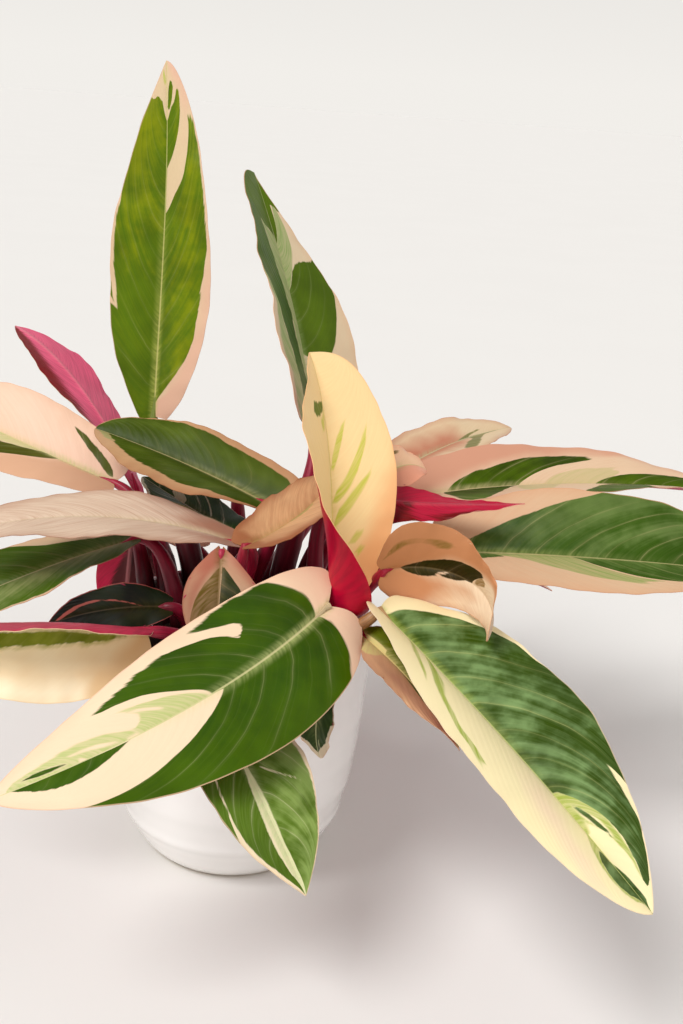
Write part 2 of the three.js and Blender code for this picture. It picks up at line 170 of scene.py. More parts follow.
def ring_grid(rings, sides):
    """Faces of a tube of rings of points, wound to face outwards when the rings run
    along +Z and turn counter-clockwise, with the first and last point as its poles."""
    ring, side = np.meshgrid(np.arange(rings - 1), np.arange(sides), indexing="ij")
    here = 1 + ring * sides + side
    beside = 1 + ring * sides + (side + 1) % sides
    walls = np.stack([here, beside, beside + sides, here + sides], -1).reshape(-1, 4)
    k = np.arange(sides)
    last = 1 + (rings - 1) * sides
    foot = np.stack([np.zeros_like(k), 1 + (k + 1) % sides, 1 + k], -1)
    head = np.stack([np.full_like(k, last + sides), last + k, last + (k + 1) % sides], -1)
    return walls.tolist() + foot.tolist() + head.tolist()


def turned(radii, heights, sides):
    """A profile carried round the Z axis: x = radius cos a, y = radius sin a. Its first
    and last points lie on the axis and become the poles."""
    angle = np.arange(sides) * 2 * math.pi / sides
    inner_radii, inner_heights = radii[1:-1, None], heights[1:-1, None]
    rings = np.stack(
        [inner_radii * np.cos(angle), inner_radii * np.sin(angle), inner_heights + 0 * angle], -1
    )
    poles = [[[0, 0, heights[0]]], rings.reshape(-1, 3), [[0, 0, heights[-1]]]]
    return np.vstack(poles), ring_grid(len(radii) - 2, sides)


def wall_radius(height):
    """The outer wall's radius: the outline's straight steps, evened out over 8 mm, with
    each throwing ring added as a low bell."""
    spread = np.linspace(-4, 4, 9)
    reach = np.minimum(1, np.asarray(height) / 4)  # no evening out below the foot
    nearby = np.asarray(height)[:, None] + spread * reach[:, None]
    radius = np.interp(nearby, WALL_HEIGHTS, WALL_RADII).mean(1)
    for centre, relief, breadth in THROWING_RINGS:
        radius = radius + relief * np.exp(-(((height - centre) / breadth) ** 2))
    return radius


low_wall = np.linspace(FOOT_BEVEL, 24, 32)
outside = np.concatenate([low_wall, np.linspace(25, POT_HEIGHT - LIP, 96)])
inside = np.linspace(POT_HEIGHT - LIP, POT_FLOOR + INNER_CORNER, 40)
over_lip = np.radians(np.linspace(0, 180, 11))[1:-1]
hollow = FOOT_RADIUS - FOOT_RING
pot_radii = np.concatenate([
    [0, hollow - FOOT_RECESS, hollow, FOOT_RADIUS - FOOT_BEVEL],
    wall_radius(outside),
    RIM_RADIUS - LIP + LIP * np.cos(over_lip),
    wall_radius(inside) - POT_WALL,
    [wall_radius(np.array([POT_FLOOR]))[0] - POT_WALL - INNER_CORNER, 0],
])
pot_heights = np.concatenate([
    [FOOT_RECESS, FOOT_RECESS, 0, 0], outside,
    POT_HEIGHT - LIP + LIP * np.sin(over_lip), inside, [POT_FLOOR, POT_FLOOR],
])

glaze = Finish("white_glaze", IOR=1.52, Coat_Weight=0.35, Coat_Roughness=0.06)
pot_place = glaze.place()
pooled = glaze.blend(glaze.noise(pot_place, 22.0), "#F1EFEC", "#F8F6F3")
bare_clay = glaze.blend(glaze.noise(pot_place, 900.0), "#D8C9B4", "#C2AE96")
glazed = pot_place.split(2).rise(0.0012, 0.002)  # the foot ring is wiped bare
glaze.set(
    Base_Color=glaze.blend(glazed, bare_clay, pooled),
    Roughness=glazed.rise(0.0, 1.0, 0.8, 0.16),
)
glaze.bump(glaze.noise(pot_place, 140.0, 2.0), 0.12, 0.0004)

pot = piece_of("glazed_pot", *turned(pot_radii, pot_heights, POT_SIDES), [glaze], sharp_over=70)
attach(pot, "root")
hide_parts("pot")

# ---------------------------------------------------------------------------
# Soil. Dark potting compost of peat and composted bark, firmed in by hand to a
# low crown round the stalks. Crumbs of bark and white perlite lie on it.

SOIL_TOP = 122.0  # where the soil meets the wall
SOIL_CROWN = 4.0
SOIL_DEPTH = 25.0
SOIL_SIDES = 150
SEAT_GAP = 0.3  # between the soil and the wall
CRUMB_COUNT = 300
PERLITE_SHARE = 0.16
CLOD_COUNT = 46
CLOD_RELIEF = 0.018  # for each millimetre of a wave's length
draw = np.random.default_rng(7)
CLOD_WAVES = np.stack([  # length, heading and start of each
    draw.uniform(3, 14, CLOD_COUNT),
    draw.uniform(0, 2 * math.pi, CLOD_COUNT),
    draw.uniform(0, 6.28, CLOD_COUNT),
], -1)


def soil_height(x, y):
    """The crown, high in the middle and eased to the wall, under 46 crossing waves of
    3 to 14 mm that stand for the clods."""
    crown = SOIL_TOP + SOIL_CROWN * np.array([1, 0.9, 0.4, 0])
    height = np.interp(np.hypot(x, y), [0, 24, 52, 71], crown)
    for length, heading, start in CLOD_WAVES:
        run = (x * math.cos(heading) + y * math.sin(heading)) * 2 * math.pi / length
        height = height + CLOD_RELIEF * length * np.sin(run + start)
    return height


soil_wall = wall_radius(np.array([SOIL_TOP]))[0] - POT_WALL - SEAT_GAP
soil_radii = np.concatenate([[0, soil_wall - 2], np.linspace(soil_wall, 0, 62)])
soil_heights = np.full(soil_radii.shape, SOIL_TOP - SOIL_DEPTH)
soil_points, soil_faces = turned(soil_radii, soil_heights, SOIL_SIDES)
on_top = slice(1 + SOIL_SIDES, None)
soil_points[on_top, 2] = soil_height(soil_points[on_top, 0], soil_points[on_top, 1])

compost = Finish("potting_compost", Roughness=0.95, Specular_IOR_Level=0.25)
soil_place = compost.place()
damp = compost.blend(compost.noise(soil_place, 90.0), "#17110D", "#3A2A1F")
fibres = compost.noise(soil_place, 900.0, 4.0, 0.7).rise(0.58, 0.7)
compost.set(Base_Color=compost.blend(fibres, damp, "#5C4632"))
compost.bump(compost.noise(soil_place, 700.0, 5.0, 0.7), 0.9, 0.0012)

soil = piece_of("potting_soil", soil_points, soil_faces, [compost])
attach(soil, "root")
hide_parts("soil")

golden = (1 + math.sqrt(5)) / 2
CRUMB_CORNERS = np.array([
    [-1, golden, 0], [1, golden, 0], [-1, -golden, 0], [1, -golden, 0],
    [0, -1, golden], [0, 1, golden], [0, -1, -golden], [0, 1, -golden],
    [golden, 0, -1], [golden, 0, 1], [-golden, 0, -1], [-golden, 0, 1],
]) / 2
CRUMB_FACES = np.array([
    [0, 11, 5], [0, 5, 1], [0, 1, 7], [0, 7, 10], [0, 10, 11], [1, 5, 9], [5, 11, 4],
    [11, 10, 2], [10, 7, 6], [7, 1, 8], [3, 9, 4], [3, 4, 2], [3, 2, 6], [3, 6, 8],
    [3, 8, 9], [4, 9, 5], [2, 4, 11], [6, 2, 10], [8, 6, 7], [9, 8, 1],
])


def crumbs(count):
    """Twenty-sided grains, each corner drawn in or out by up to a quarter, stretched to
    flakes, turned about Z, and set at an even chance over the soil's surface."""
    away = (soil_wall - 3) * np.sqrt(draw.uniform(0, 1, count))
    round_it = draw.uniform(0, 2 * math.pi, count)
    centre = np.stack([away * np.cos(round_it), away * np.sin(round_it)], -1)
    size = draw.uniform(0.6, 2.1, count)[:, None] * draw.uniform([0.7, 0.5, 0.35], 1, (count, 3))
    grain = CRUMB_CORNERS * draw.uniform(0.75, 1.25, (count, 12, 1)) * size[:, None, :]
    turn = draw.uniform(0, 2 * math.pi, count)[:, None]
    x = grain[..., 0] * np.cos(turn) - grain[..., 1] * np.sin(turn) + centre[:, :1]
    y = grain[..., 0] * np.sin(turn) + grain[..., 1] * np.cos(turn) + centre[:, 1:]
    rest = soil_height(centre[:, 0], centre[:, 1]) + 0.3 * size[:, 2]
    points = np.stack([x, y, grain[..., 2] + rest[:, None]], -1).reshape(-1, 3)
    faces = (CRUMB_FACES + 12 * np.arange(count)[:, None, None]).reshape(-1, 3)
    return points, faces.tolist()


bark = Finish("bark_crumbs", Roughness=0.9, Specular_IOR_Level=0.3)
perlite = Finish("perlite_crumbs", Roughness=0.85, Specular_IOR_Level=0.3)
bark_tint = bark.noise(bark.place(), 160.0, 1.0)
bark.set(Base_Color=bark.blend(bark_tint, "#2B1A10", "#7A5636"))
bark.bump(bark.noise(bark.place(), 1500.0), 0.6, 0.0004)
perlite_tint = perlite.noise(perlite.place(), 300.0)
perlite.set(Base_Color=perlite.blend(perlite_tint, "#CFC8BC", "#F0ECE4"))
perlite.bump(perlite.noise(perlite.place(), 1800.0), 0.7, 0.0004)
crumb_points, crumb_faces = crumbs(CRUMB_COUNT)
is_perlite = np.repeat(draw.uniform(0, 1, CRUMB_COUNT) < PERLITE_SHARE, len(CRUMB_FACES))
litter = piece_of("soil_crumbs", crumb_points, crumb_faces, [bark, perlite], is_perlite, 30)
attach(litter, "root")

# ---------------------------------------------------------------------------
# Leaves. Each grew as one thing: a sheathed stalk out of the soil, a swollen
# joint, and a blade that is thin, pleated along its side veins, and keeled below
# by its midrib. Cells with and without green lie in streaks along the veins.

SOIL_CENTRE = SOIL_TOP + SOIL_CROWN
ROOT_LEVEL = SOIL_TOP - 16
STALK_FOOT_RADIUS = 3.0
STALK_RADIUS = 1.9
SLIMMING = (0.35, 0.9)  # the shares of the way up between which a stalk slims
SHEATHED = ([0, 0.1, 0.5, 0.9, 1], [0, 1, 1, 0.5, 0])  # the way up, and how full its sheath is
JOINT_RADIUS = 2.3
JOINT_LENGTH = 12.0
STALK_SIDES = 14
STALK_BEND_STEPS = 40
STALK_UNDER_BLADE = 0.08
STRAIGHT_RISE = 0.4
SQUARE_BASE = 0.03  # how broad the blade begins
LOBE_SPREAD = 0.72
LOBE_FADE = 4
WAVE = 1.2  # the edge's broad waves
WAVE_COUNT = 2.6
FLUTTER = 0.25  # and the short ones on them
VEIN_LEAN = 0.92  # how far a side vein runs forward on its way to the edge
VEIN_BEND = 1.4
VEIN_SPACING = 7.0
STOUT_VEIN_SPACING = 19.0
PLEAT = 0.09
GROOVE, GROOVE_BREADTH = 0.5, 1.1  # over the midrib
KEEL, KEEL_AT_TIP, KEEL_BREADTH = 1.5, 0.2, 1.35  # and under it
BLADE_HALF, RIM_HALF = 0.22, 0.15  # half the thickness of the sheet, and of its edge
ROW_STEP = 1.15  # the mesh's steps along and across a blade
COLUMN_STEP = 1.8
STREAKING = 0.7  # how much less a mark's depth counts along the veins than across them
CLOSED = 0.06  # a mark whose limits come this close has ended
# What most leaves share: how they grow, in millimetres and degrees, and how they look.
# A pair of values is for the left and the right half, as seen from the base.
LEAF_HABIT = dict(
    sway=0, roll=0, twist=0, fold=14, curl=-12, opening=1, lobe=4, belly=0.8, blunt=0.5,
    point=0.72, share=(0.5, 0.5), reach=0.3, arrive=None, sheath=1.7, marks=(),
)
LEAF_SKIN = dict(
    green="#3F6218", bright="#5E8228", lime="#A9B66C", cream="#F3DAB2", blush="#E9A98C",
    deep="#7A1830", rosy="#C03A58", stalk="#9C1C38", joint="#B02440", vein=0.3, grain=0.2,
    mottle=0.35, flush=0.25, gloss=0.36, midrib=0.75,
)


def sector(tissue, half, *knots):
    """A mark between two side veins: (across, from, to) gives its limits along the blade
    at places from the midrib, 0, to the edge, 100. Where from is over to, it has ended."""
    return tissue, half, True, np.array(knots, dtype=float) / 100


def band(tissue, half, *knots):
    """A mark along the blade: (along, from, to) gives its limits across a half at places
    from the base, 0, to the tip, 100. Up to 0 or 100, it runs to the midrib or the edge."""
    return tissue, half, False, np.array(knots, dtype=float) / 100


def halves(value, across):
    """A value for the left and the right half, chosen by the side of the midrib."""
    left, right = value if isinstance(value, (tuple, list)) else (value, value)
    return np.where(across >= 0, float(left), float(right))


def growth(leaf, share):
    """The midrib's direction, and the blade's left and up, at a share of its length. The
    bearing sways and the rise droops evenly, and left is turned about the direction by
    the roll and the twist."""
    bearing = np.radians(leaf["bearing"] + leaf["sway"] * share)
    rise = np.radians(leaf["rise"] - leaf["droop"] * share)
    turn = np.radians(leaf["roll"] + leaf["twist"] * share)[..., None]
    along = np.stack(
        [np.cos(rise) * np.cos(bearing), np.cos(rise) * np.sin(bearing), np.sin(rise)], -1
    )
    level = np.stack([-np.sin(bearing), np.cos(bearing), 0 * bearing], -1)
    left = level * np.cos(turn) + np.cross(along, level) * np.sin(turn)
    return along, left, np.cross(along, left)


def midrib_at(leaf, share, steps=240):
    """The midrib's points: its direction added up in short steps from the start."""
    along = growth(leaf, (np.arange(steps) + 0.5) / steps)[0]
    stepped = np.cumsum(along * leaf["length"] / steps, axis=0)
    points = np.vstack([np.zeros(3), stepped]) + leaf["start"]
    places = np.linspace(0, 1, steps + 1)
    return np.stack([np.interp(share, places, points[:, k]) for k in range(3)], -1)


def blade_surface(leaf, share, across):
    """Points of the blade's middle surface, its normal and the half's reach. Each half is
    an arc that leaves the midrib at the fold angle and bends by the curl angle. It is as
    long as the outline is high there: half a sine of the share to the power of the belly,
    itself to a power that goes from blunt at the base to point at the tip. Long and short
    waves grow to the edge, and a lobe is drawn back beside the joint."""
    along, left, up = growth(leaf, share)
    side, t = np.where(across >= 0, 1.0, -1.0), np.abs(across)
    opened = 1 - (1 - share) ** leaf["opening"]
    fold, curl = halves(leaf["fold"], across), halves(leaf["curl"], across)
    fold = np.radians(fold + (halves(leaf.get("fold_tip", leaf["fold"]), across) - fold) * opened)
    curl = np.radians(curl + (halves(leaf.get("curl_tip", leaf["curl"]), across) - curl) * opened)
    curl = np.where(np.abs(curl) < 1e-3, 1e-3, curl)
    belly, blunt, point = (halves(leaf[key], across) for key in ("belly", "blunt", "point"))
    swell = np.sin(math.pi * (SQUARE_BASE + (1 - SQUARE_BASE) * share) ** belly)
    full = np.maximum(swell, 0) ** (blunt + (point - blunt) * share)
    reach = leaf["width"] * halves(leaf["share"], across) * full
    out = reach / curl * (np.sin(fold + curl * t) - np.sin(fold))
    lift = reach / curl * (np.cos(fold) - np.cos(fold + curl * t))
    waves = (WAVE_COUNT + 0.5 * side) * share + leaf["width"] / 7 + 0.3 * side
    fade = t * t * np.minimum(1, 4 * (1 - share))
    ripple = WAVE * fade * np.sin(2 * math.pi * waves)
    flutter = np.sin(2 * math.pi * (7.3 * share + leaf["length"] / 9 + 0.4 * side))
    flutter = flutter + np.sin(2 * math.pi * (11.9 * share + leaf["length"] / 5 + 0.7 * side))
    ripple = ripple + FLUTTER * t * fade * flutter
    back = halves(leaf["lobe"], across) * np.sin(LOBE_SPREAD * math.pi * t)
    back = back * (1 - share) ** LOBE_FADE
    slope = (fold + curl * t)[..., None]
    normal = up * np.cos(slope) - left * side[..., None] * np.sin(slope)
    normal = np.where((t == 0)[..., None], up, normal)
    point = midrib_at(leaf, share) + left * (side * out)[..., None] + up * lift[..., None]
    return point + normal * ripple[..., None] - along * back[..., None], normal, reach


def tissues(leaf, vein, across):
    """How deep inside each tissue a place lies, in half widths, under 0 outside it. A
    mark's depth is its distance to its nearer limit or to the end where it closes, counted
    for less along the veins than across them. A later mark covers earlier ones, but the
    bright and pink tints only add up."""
    t = np.abs(across)
    slender = 2 * leaf["length"] / leaf["width"]
    depth = {tissue: np.full(t.shape, -1.0) for tissue in ("green", "lime", "bright", "pink")}
    for tissue, half, lengthwise, knots in leaf["marks"]:
        at, place = (t, vein) if lengthwise else (vein, t)
        low = np.interp(at, knots[:, 0], np.where(knots[:, 1] <= 0, -0.5, knots[:, 1]))
        high = np.interp(at, knots[:, 0], np.where(knots[:, 2] >= 1, 1.5, knots[:, 2]))
        inside = np.minimum(place - low, high - place) * (slender if lengthwise else STREAKING)
        gap = knots[:, 2] - knots[:, 1]
        begun = at - knots[0, 0] if gap[0] < CLOSED else 1
        left_over = knots[-1, 0] - at if gap[-1] < CLOSED else 1
        reached = np.minimum(begun, left_over) * (STREAKING if lengthwise else slender)
        inside = np.minimum(inside, reached)
        here = {"L": across >= 0, "R": across <= 0, "B": t >= 0}[half]
        inside = np.clip(np.where(here, inside, -1), -1, 1)
        if tissue in ("bright", "pink"):
            depth[tissue] = np.maximum(depth[tissue], inside)
            continue
        for layer in ("green", "lime"):
            covered = np.minimum(depth[layer], -inside)
            depth[layer] = np.maximum(depth[layer], inside) if layer == tissue else covered
    return depth


def blade(leaf):
    """The blade's upper and lower face on one grid of side veins and places across, where
    a vein that leaves the midrib at w crosses at share w + 0.92 w (1 - w)(2 - w) t^1.4.
    Between the veins the sheet swells in pleats, and the midrib is a groove above and a
    keel below, both falling off as a bell."""
    rows = max(40, round(leaf["length"] / ROW_STEP))
    columns = max(9, round(leaf["width"] / 2 / COLUMN_STEP))
    half = (np.arange(columns + 1) / columns) ** 1.3
    places = np.concatenate([half[::-1], -half[1:]])
    vein, across = np.meshgrid(np.arange(rows) / rows, places, indexing="ij")
    vein = np.append(vein.ravel(), 1.0)  # the tip is the last point
    across = np.append(across.ravel(), 0.0)
    t = np.abs(across)
    share = vein + VEIN_LEAN * vein * (1 - vein) * (2 - vein) * t**VEIN_BEND
    middle, normal, reach = blade_surface(leaf, share, across)
    from_rib = t * reach
    veins = leaf["length"] / VEIN_SPACING
    pleat = np.abs(np.sin(math.pi * vein * veins)) - 0.6
    pleat = PLEAT * pleat * np.minimum(1, t * 6) * np.minimum(1, 9 * (1 - vein)) * (1 - 0.5 * t)
    groove = -GROOVE * (1 - vein) ** 0.5 * np.exp(-((from_rib / GROOVE_BREADTH) ** 2))
    keel = (KEEL + (KEEL_AT_TIP - KEEL) * share) * np.exp(-((from_rib / KEEL_BREADTH) ** 2))
    thick = np.where(t > 0.96, RIM_HALF, BLADE_HALF)
    upper = middle + normal * (pleat + groove + thick)[:, None]
    lower = middle + normal * (pleat + groove * 0.3 - keel - thick)[:, None]
    wide, size = 2 * columns + 1, len(vein)
    i, j = np.meshgrid(np.arange(rows - 1), np.arange(wide - 1), indexing="ij")
    a = (i * wide + j).reshape(-1)
    k = np.arange(wide - 1)
    end = (rows - 1) * wide
    r = np.arange(rows)
    left, left_next = r * wide, np.append(r[1:] * wide, size - 1)
    right, right_next = left + wide - 1, np.append(r[1:] * wide + wide - 1, size - 1)
    tops = np.stack([a, a + 1, a + wide + 1, a + wide], -1).tolist()
    tops += np.stack([end + k, end + k + 1, np.full_like(k, size - 1)], -1).tolist()
    rims = np.stack([left, left_next, left_next + size, left + size], -1).tolist()
    rims += np.stack([right, right + size, right_next + size, right_next], -1).tolist()
    rims += np.stack([k, k + size, k + 1 + size, k + 1], -1).tolist()
    bottoms = [[c + size for c in reversed(face)] for face in tops]
    fields = dict(tissues(leaf, vein, across), rib=from_rib, rim=(1 - t) * reach)
    laid = np.stack([vein, 0.5 + 0.5 * across], -1)
    return np.vstack([upper, lower]), tops, rims, bottoms, fields, laid


def stalk(leaf):
    """A round bar carried along the stalk's line: straight up out of the soil, a cubic
    bend whose ends follow the soil's upright and the blade's own direction, then under
    the midrib. It slims on the way up, swells at the joint, and is broader where the
    sheath wraps it, by the leaf's own number of times."""
    start = np.array(leaf["start"], dtype=float)
    collar = np.array([*leaf["root"], SOIL_CENTRE], dtype=float)
    arriving = leaf
    if leaf["arrive"]:
        arriving = dict(leaf, bearing=leaf["arrive"][0], rise=leaf["arrive"][1])
    direction = growth(arriving, np.array(0.0))[0]
    span = np.linalg.norm(start - collar)
    controls = [
        collar, collar + [0, 0, STRAIGHT_RISE * span], start - leaf["reach"] * span * direction,
        start,
    ]
    b = np.linspace(0, 1, STALK_BEND_STEPS + 1)[:, None]
    weights = [(1 - b) ** 3, 3 * b * (1 - b) ** 2, 3 * b**2 * (1 - b), b**3]
    bend = sum(weight * control for weight, control in zip(weights, controls))
    under = np.linspace(0, STALK_UNDER_BLADE, 6)[1:]
    up = growth(leaf, under)[2]
    runs_on = midrib_at(leaf, under) - up * np.linspace(0.6, 1.6, 5)[:, None]
    sheath = np.linspace(ROOT_LEVEL, SOIL_CENTRE, 4)[:-1]
    foot = np.stack([0 * sheath + collar[0], 0 * sheath + collar[1], sheath], -1)
    line = np.vstack([foot, bend, runs_on])
    climb = np.concatenate([0 * sheath, b[:, 0], np.ones(5)])
    slims_from, slim_at = SLIMMING
    slimmed = np.clip((climb - slims_from) / (slim_at - slims_from), 0, 1) ** 0.7
    radius = STALK_FOOT_RADIUS + (STALK_RADIUS - STALK_FOOT_RADIUS) * slimmed
    to_joint = np.linalg.norm(line - start, axis=1) / JOINT_LENGTH
    radius = radius + (JOINT_RADIUS - STALK_RADIUS) * np.exp(-(to_joint**4)) * (climb > 0.5)
    radius[-5:] = np.linspace(JOINT_RADIUS, 0.7, 6)[1:]
    radius = radius * (1 + (leaf["sheath"] - 1) * np.interp(climb, *SHEATHED))
    along = np.gradient(line, axis=0)
    along /= np.linalg.norm(along, axis=1)[:, None]
    flat = np.cross([0, 0, 1], start - collar)
    flat = flat / np.linalg.norm(flat)
    beside = flat - along * (along @ flat)[:, None]
    beside /= np.linalg.norm(beside, axis=1)[:, None]
    other = np.cross(along, beside)
    angle = np.arange(STALK_SIDES) * 2 * math.pi / STALK_SIDES
    spoke = beside[:, None] * np.cos(angle)[:, None] + other[:, None] * np.sin(angle)[:, None]
    rings = (line[:, None] + spoke * radius[:, None, None]).reshape(-1, 3)
    points = np.vstack([line[:1], rings, line[-1:]])
    up_it = np.concatenate([[0], np.repeat(climb, STALK_SIDES), [1]])
    round_it = np.concatenate([[0], np.tile(np.abs(1 - angle / math.pi), len(line)), [0]])
    return points, ring_grid(len(line), STALK_SIDES), np.stack([up_it, round_it], -1)


def laid_along(skin):
    """The leaf's own UV map: which side vein a place is on, and how far across it lies."""
    laid = skin.node("UVMap", {}, uv_map="veins")
    return laid, laid.split(0), laid.split(1)


def vein_noise(skin, veins, across, along_count, across_count, seed):
    """Noise drawn out along the side veins."""
    place = skin.point(veins * along_count, across * across_count, seed)
    return skin.noise(place, 1.0, 2.0)


def off_line(skin, phase):
    """How far a place is from the nearest line of an even row, in spacings."""
    return skin.node("Math", {0: phase, 1: 0.5}, operation="PINGPONG")


def blade_skin(name, leaf, seed):
    """The upper skin. Cream tissue lies under pale and full green, whose edges fray along
    the veins. Noise mottles the green, clouds it darker and warms the cream. Over them
    lie the side veins, the feathered midrib and a fine rim."""
    skin = Finish(name, Specular_IOR_Level=0.1)
    laid, veins, across = laid_along(skin)
    rib, rim = skin.field("rib"), skin.field("rim")
    fine = vein_noise(skin, veins, across, leaf["length"] * 0.7, 5.0, seed)
    broad = vein_noise(skin, veins, across, leaf["length"] * 0.16, 2.6, seed + 3.7)
    cloud = skin.noise(skin.place(), 38.0, 2.0)
    blotch = skin.noise(skin.place(), 110.0) - 0.5
    streak = fine.rise(0.3, 0.7)
    # where each tissue lies, less frayed close to the midrib
    ragged = (fine * 0.035 + broad * 0.06 - 0.048) * rib.rise(0.0, 7.0, 0.2, 1.0)
    is_green = (skin.field("green") + ragged).rise(-0.013, 0.013)
    is_lime = (skin.field("lime") + ragged * 1.5).rise(-0.03, 0.03)
    mottle = (broad - 0.5 + blotch) * (1.5 * leaf["mottle"])
    is_bright = (skin.field("bright") + mottle).rise(-0.35, 0.45)
    is_pink = (skin.field("pink") + (cloud - 0.5) * 0.5).rise(-0.3, 0.3)
    # cream tissue, warmed by pink near the base, the edge and where it is marked so
    flush = leaf["flush"]
    warm = veins.rise(0.0, 0.3, flush, 0.0) + rim.rise(0.0, 7.0, flush, 0.0) + cloud * flush
    warm = skin.node("Math", {0: warm - 0.1, 1: is_pink}, operation="MAXIMUM", use_clamp=True)
    cream = skin.blend(warm, leaf["cream"], leaf["blush"])
    cream = skin.blend(streak * (0.35 * leaf["grain"]), cream, leaf["blush"])
    pale = skin.blend(streak * 0.4, leaf["lime"], cream)
    # green tissue, brighter where it is marked so and in streaks, darker in clouds
    green = skin.blend(is_bright, leaf["green"], leaf["bright"])
    green = skin.blend(streak * 0.16, green, leaf["bright"])
    darker = skin.blend(0.6, green, (0.01, 0.025, 0.0, 1.0))
    green = skin.blend(cloud.rise(0.3, 0.75, 0.0, 0.6), green, darker)
    shade = skin.blend(is_green, skin.blend(is_lime, cream, pale), green)
    # side veins: a fine one every 7 mm along the midrib, and a stout pale one every 19 mm
    wander = skin.noise(laid, 9.0, 1.0) * 0.5
    saw = off_line(skin, veins * (leaf["length"] / VEIN_SPACING) + wander)
    stout = off_line(skin, veins * (leaf["length"] / STOUT_VEIN_SPACING) + wander * 0.25)
    line = stout.rise(0.0, 0.025, 0.7, 0.0) + stout.rise(0.0, 0.13, 0.25, 0.0)
    line = (line + saw.rise(0.0, 0.06, 0.12, 0.0)) * veins.rise(0.72, 0.95, leaf["vein"], 0.0)
    line = line * broad.rise(0.35, 0.65, 0.5, 1.3) * rim.rise(0.0, 14.0, 0.3, 1.0)
    on_green = is_green.rise(0.0, 1.0, leaf["grain"], 1.0)
    rib_colour = skin.blend(0.35, leaf["lime"], leaf["cream"])
    line_colour = skin.blend(is_green, leaf["blush"], rib_colour)
    shade = skin.blend(line * on_green, shade, line_colour)
    # the midrib, broader at the base, and pale tissue that feathers out 5 mm from it
    feather = veins.rise(0.0, 0.8, 1.1 * leaf["midrib"], 0.0) * fine.rise(0.25, 0.75, 0.35, 1.0)
    shade = skin.blend(feather * rib.rise(0.0, 5.0, 1.0, 0.0), shade, leaf["lime"])
    rib_width = veins.rise(0.0, 1.0, 0.8, 0.32)
    off_rib = skin.node("Math", {0: rib, 1: rib_width}, operation="DIVIDE")
    shade = skin.blend(off_rib.rise(0.35, 1.05, leaf["midrib"], 0.0), shade, rib_colour)
    shade = skin.blend(rim.rise(0.25, 0.7, 0.6, 0.0), shade, leaf["blush"])
    gloss = leaf["gloss"]
    skin.set(Base_Color=shade, Roughness=broad.rise(0.2, 0.8, gloss - 0.05, gloss + 0.08))
    skin.bump(fine * 0.5 + saw * 1.2 * on_green, 0.25, 0.0004)
    return skin


def blade_back(name, leaf, seed):
    """The underside: wine red where the upper skin is green, rosier where it is cream,
    with fine darker veins and a paler keel."""
    skin = Finish(name, Roughness=0.42, Specular_IOR_Level=0.2)
    laid, veins, across = laid_along(skin)
    fine = vein_noise(skin, veins, across, leaf["length"] * 0.7, 5.0, seed + 11)
    cloud = skin.noise(skin.place(), 30.0, 2.0)
    under_green = (skin.field("green") + (fine - 0.5) * 0.3).rise(-0.1, 0.1)
    on_keel = skin.field("rib").rise(0.6, 1.6, 0.5 * leaf["midrib"], 0.0)
    shade = skin.blend(under_green, leaf["rosy"], leaf["deep"])
    shade = skin.blend(cloud * 0.4, shade, leaf["deep"])
    shade = skin.blend(fine.rise(0.35, 0.75, 0.0, 0.3), shade, "#4A0E1E")
    skin.set(Base_Color=skin.blend(on_keel, shade, "#D88A8C"))
    skin.bump(fine, 0.3, 0.0003)
    return skin


def stalk_skin(name, leaf, seed):
    """The stalk's skin: nearly black at its foot, partly its own darker base and mostly painted
    shade among the crowded stalks, then its own colour, paler at the joint, with fine lengthwise
    ribs."""
    skin = Finish(name, Roughness=0.4, Specular_IOR_Level=0.3)
    laid, climb, around = laid_along(skin)
    ribs = skin.noise(skin.point(climb * 6.0, around * 13.0, seed), 1.0, 2.0)
    # painted shade: the lower 60 percent of the stalk goes nearly black, for the shade among the
    # stalks over its own darker base
    shade = skin.blend(climb.rise(0.0, 0.6), "#300C0E", leaf["stalk"])
    shade = skin.blend(climb.rise(0.78, 0.97), shade, leaf["joint"])
    skin.set(Base_Color=skin.blend(ribs.rise(0.35, 0.7, 0.0, 0.4), shade, "#2C0A12"))
    skin.bump(ribs, 0.4, 0.0003)
    return skin


leaf_numbers = itertools.count(1)
ALL_GREEN = band("green", "B", (0, 0, 100), (100, 0, 100))


def make_leaf(name, slot, **own):
    """One leaf on the plant: blade and stalk in one mesh, with its upper skin, underside
    and stalk finishes, standing for the CAD node of the same name."""
    leaf = {**LEAF_HABIT, **LEAF_SKIN, **own}
    points, tops, rims, bottoms, fields, laid = blade(leaf)
    stalk_points, stalk_faces, stalk_laid = stalk(leaf)
    joined = (np.array(face) + len(points) for face in stalk_faces)
    faces = tops + rims + bottoms + [face.tolist() for face in joined]
    parts = [len(tops) + len(rims), len(bottoms), len(stalk_faces)]
    short = name.removeprefix("leaf_")
    seed = 5.3 * next(leaf_numbers)
    finishes = [
        blade_skin(f"{short}_upper", leaf, seed),
        blade_back(f"{short}_under", leaf, seed),
        stalk_skin(f"{short}_stalk", leaf, seed),
    ]
    piece = piece_of(
        short + "_leaf", np.vstack([points, stalk_points]), faces, finishes,
        np.repeat([0, 1, 2], parts), 62,
    )
    mesh = piece.data
    for field, values in fields.items():
        both_faces = np.concatenate([values, values, np.zeros(len(stalk_points))])
        attribute = mesh.attributes.new(field, "FLOAT", "POINT")
        attribute.data.foreach_set("value", both_faces.astype(np.float32))
    corner_point = np.empty(len(mesh.loops), dtype=np.int32)
    mesh.loops.foreach_get("vertex_index", corner_point)
    uv = mesh.uv_layers.new(name="veins")
    uv.data.foreach_set("uv", np.vstack([laid, laid, stalk_laid])[corner_point].ravel())
    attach(piece, "root")
    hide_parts(name)
    return piece


# ---------------------------------------------------------------------------
# The two tall leaves behind. Grown leaves on long stalks, standing nearly
# upright, mostly green with a cream streak and peach edges.

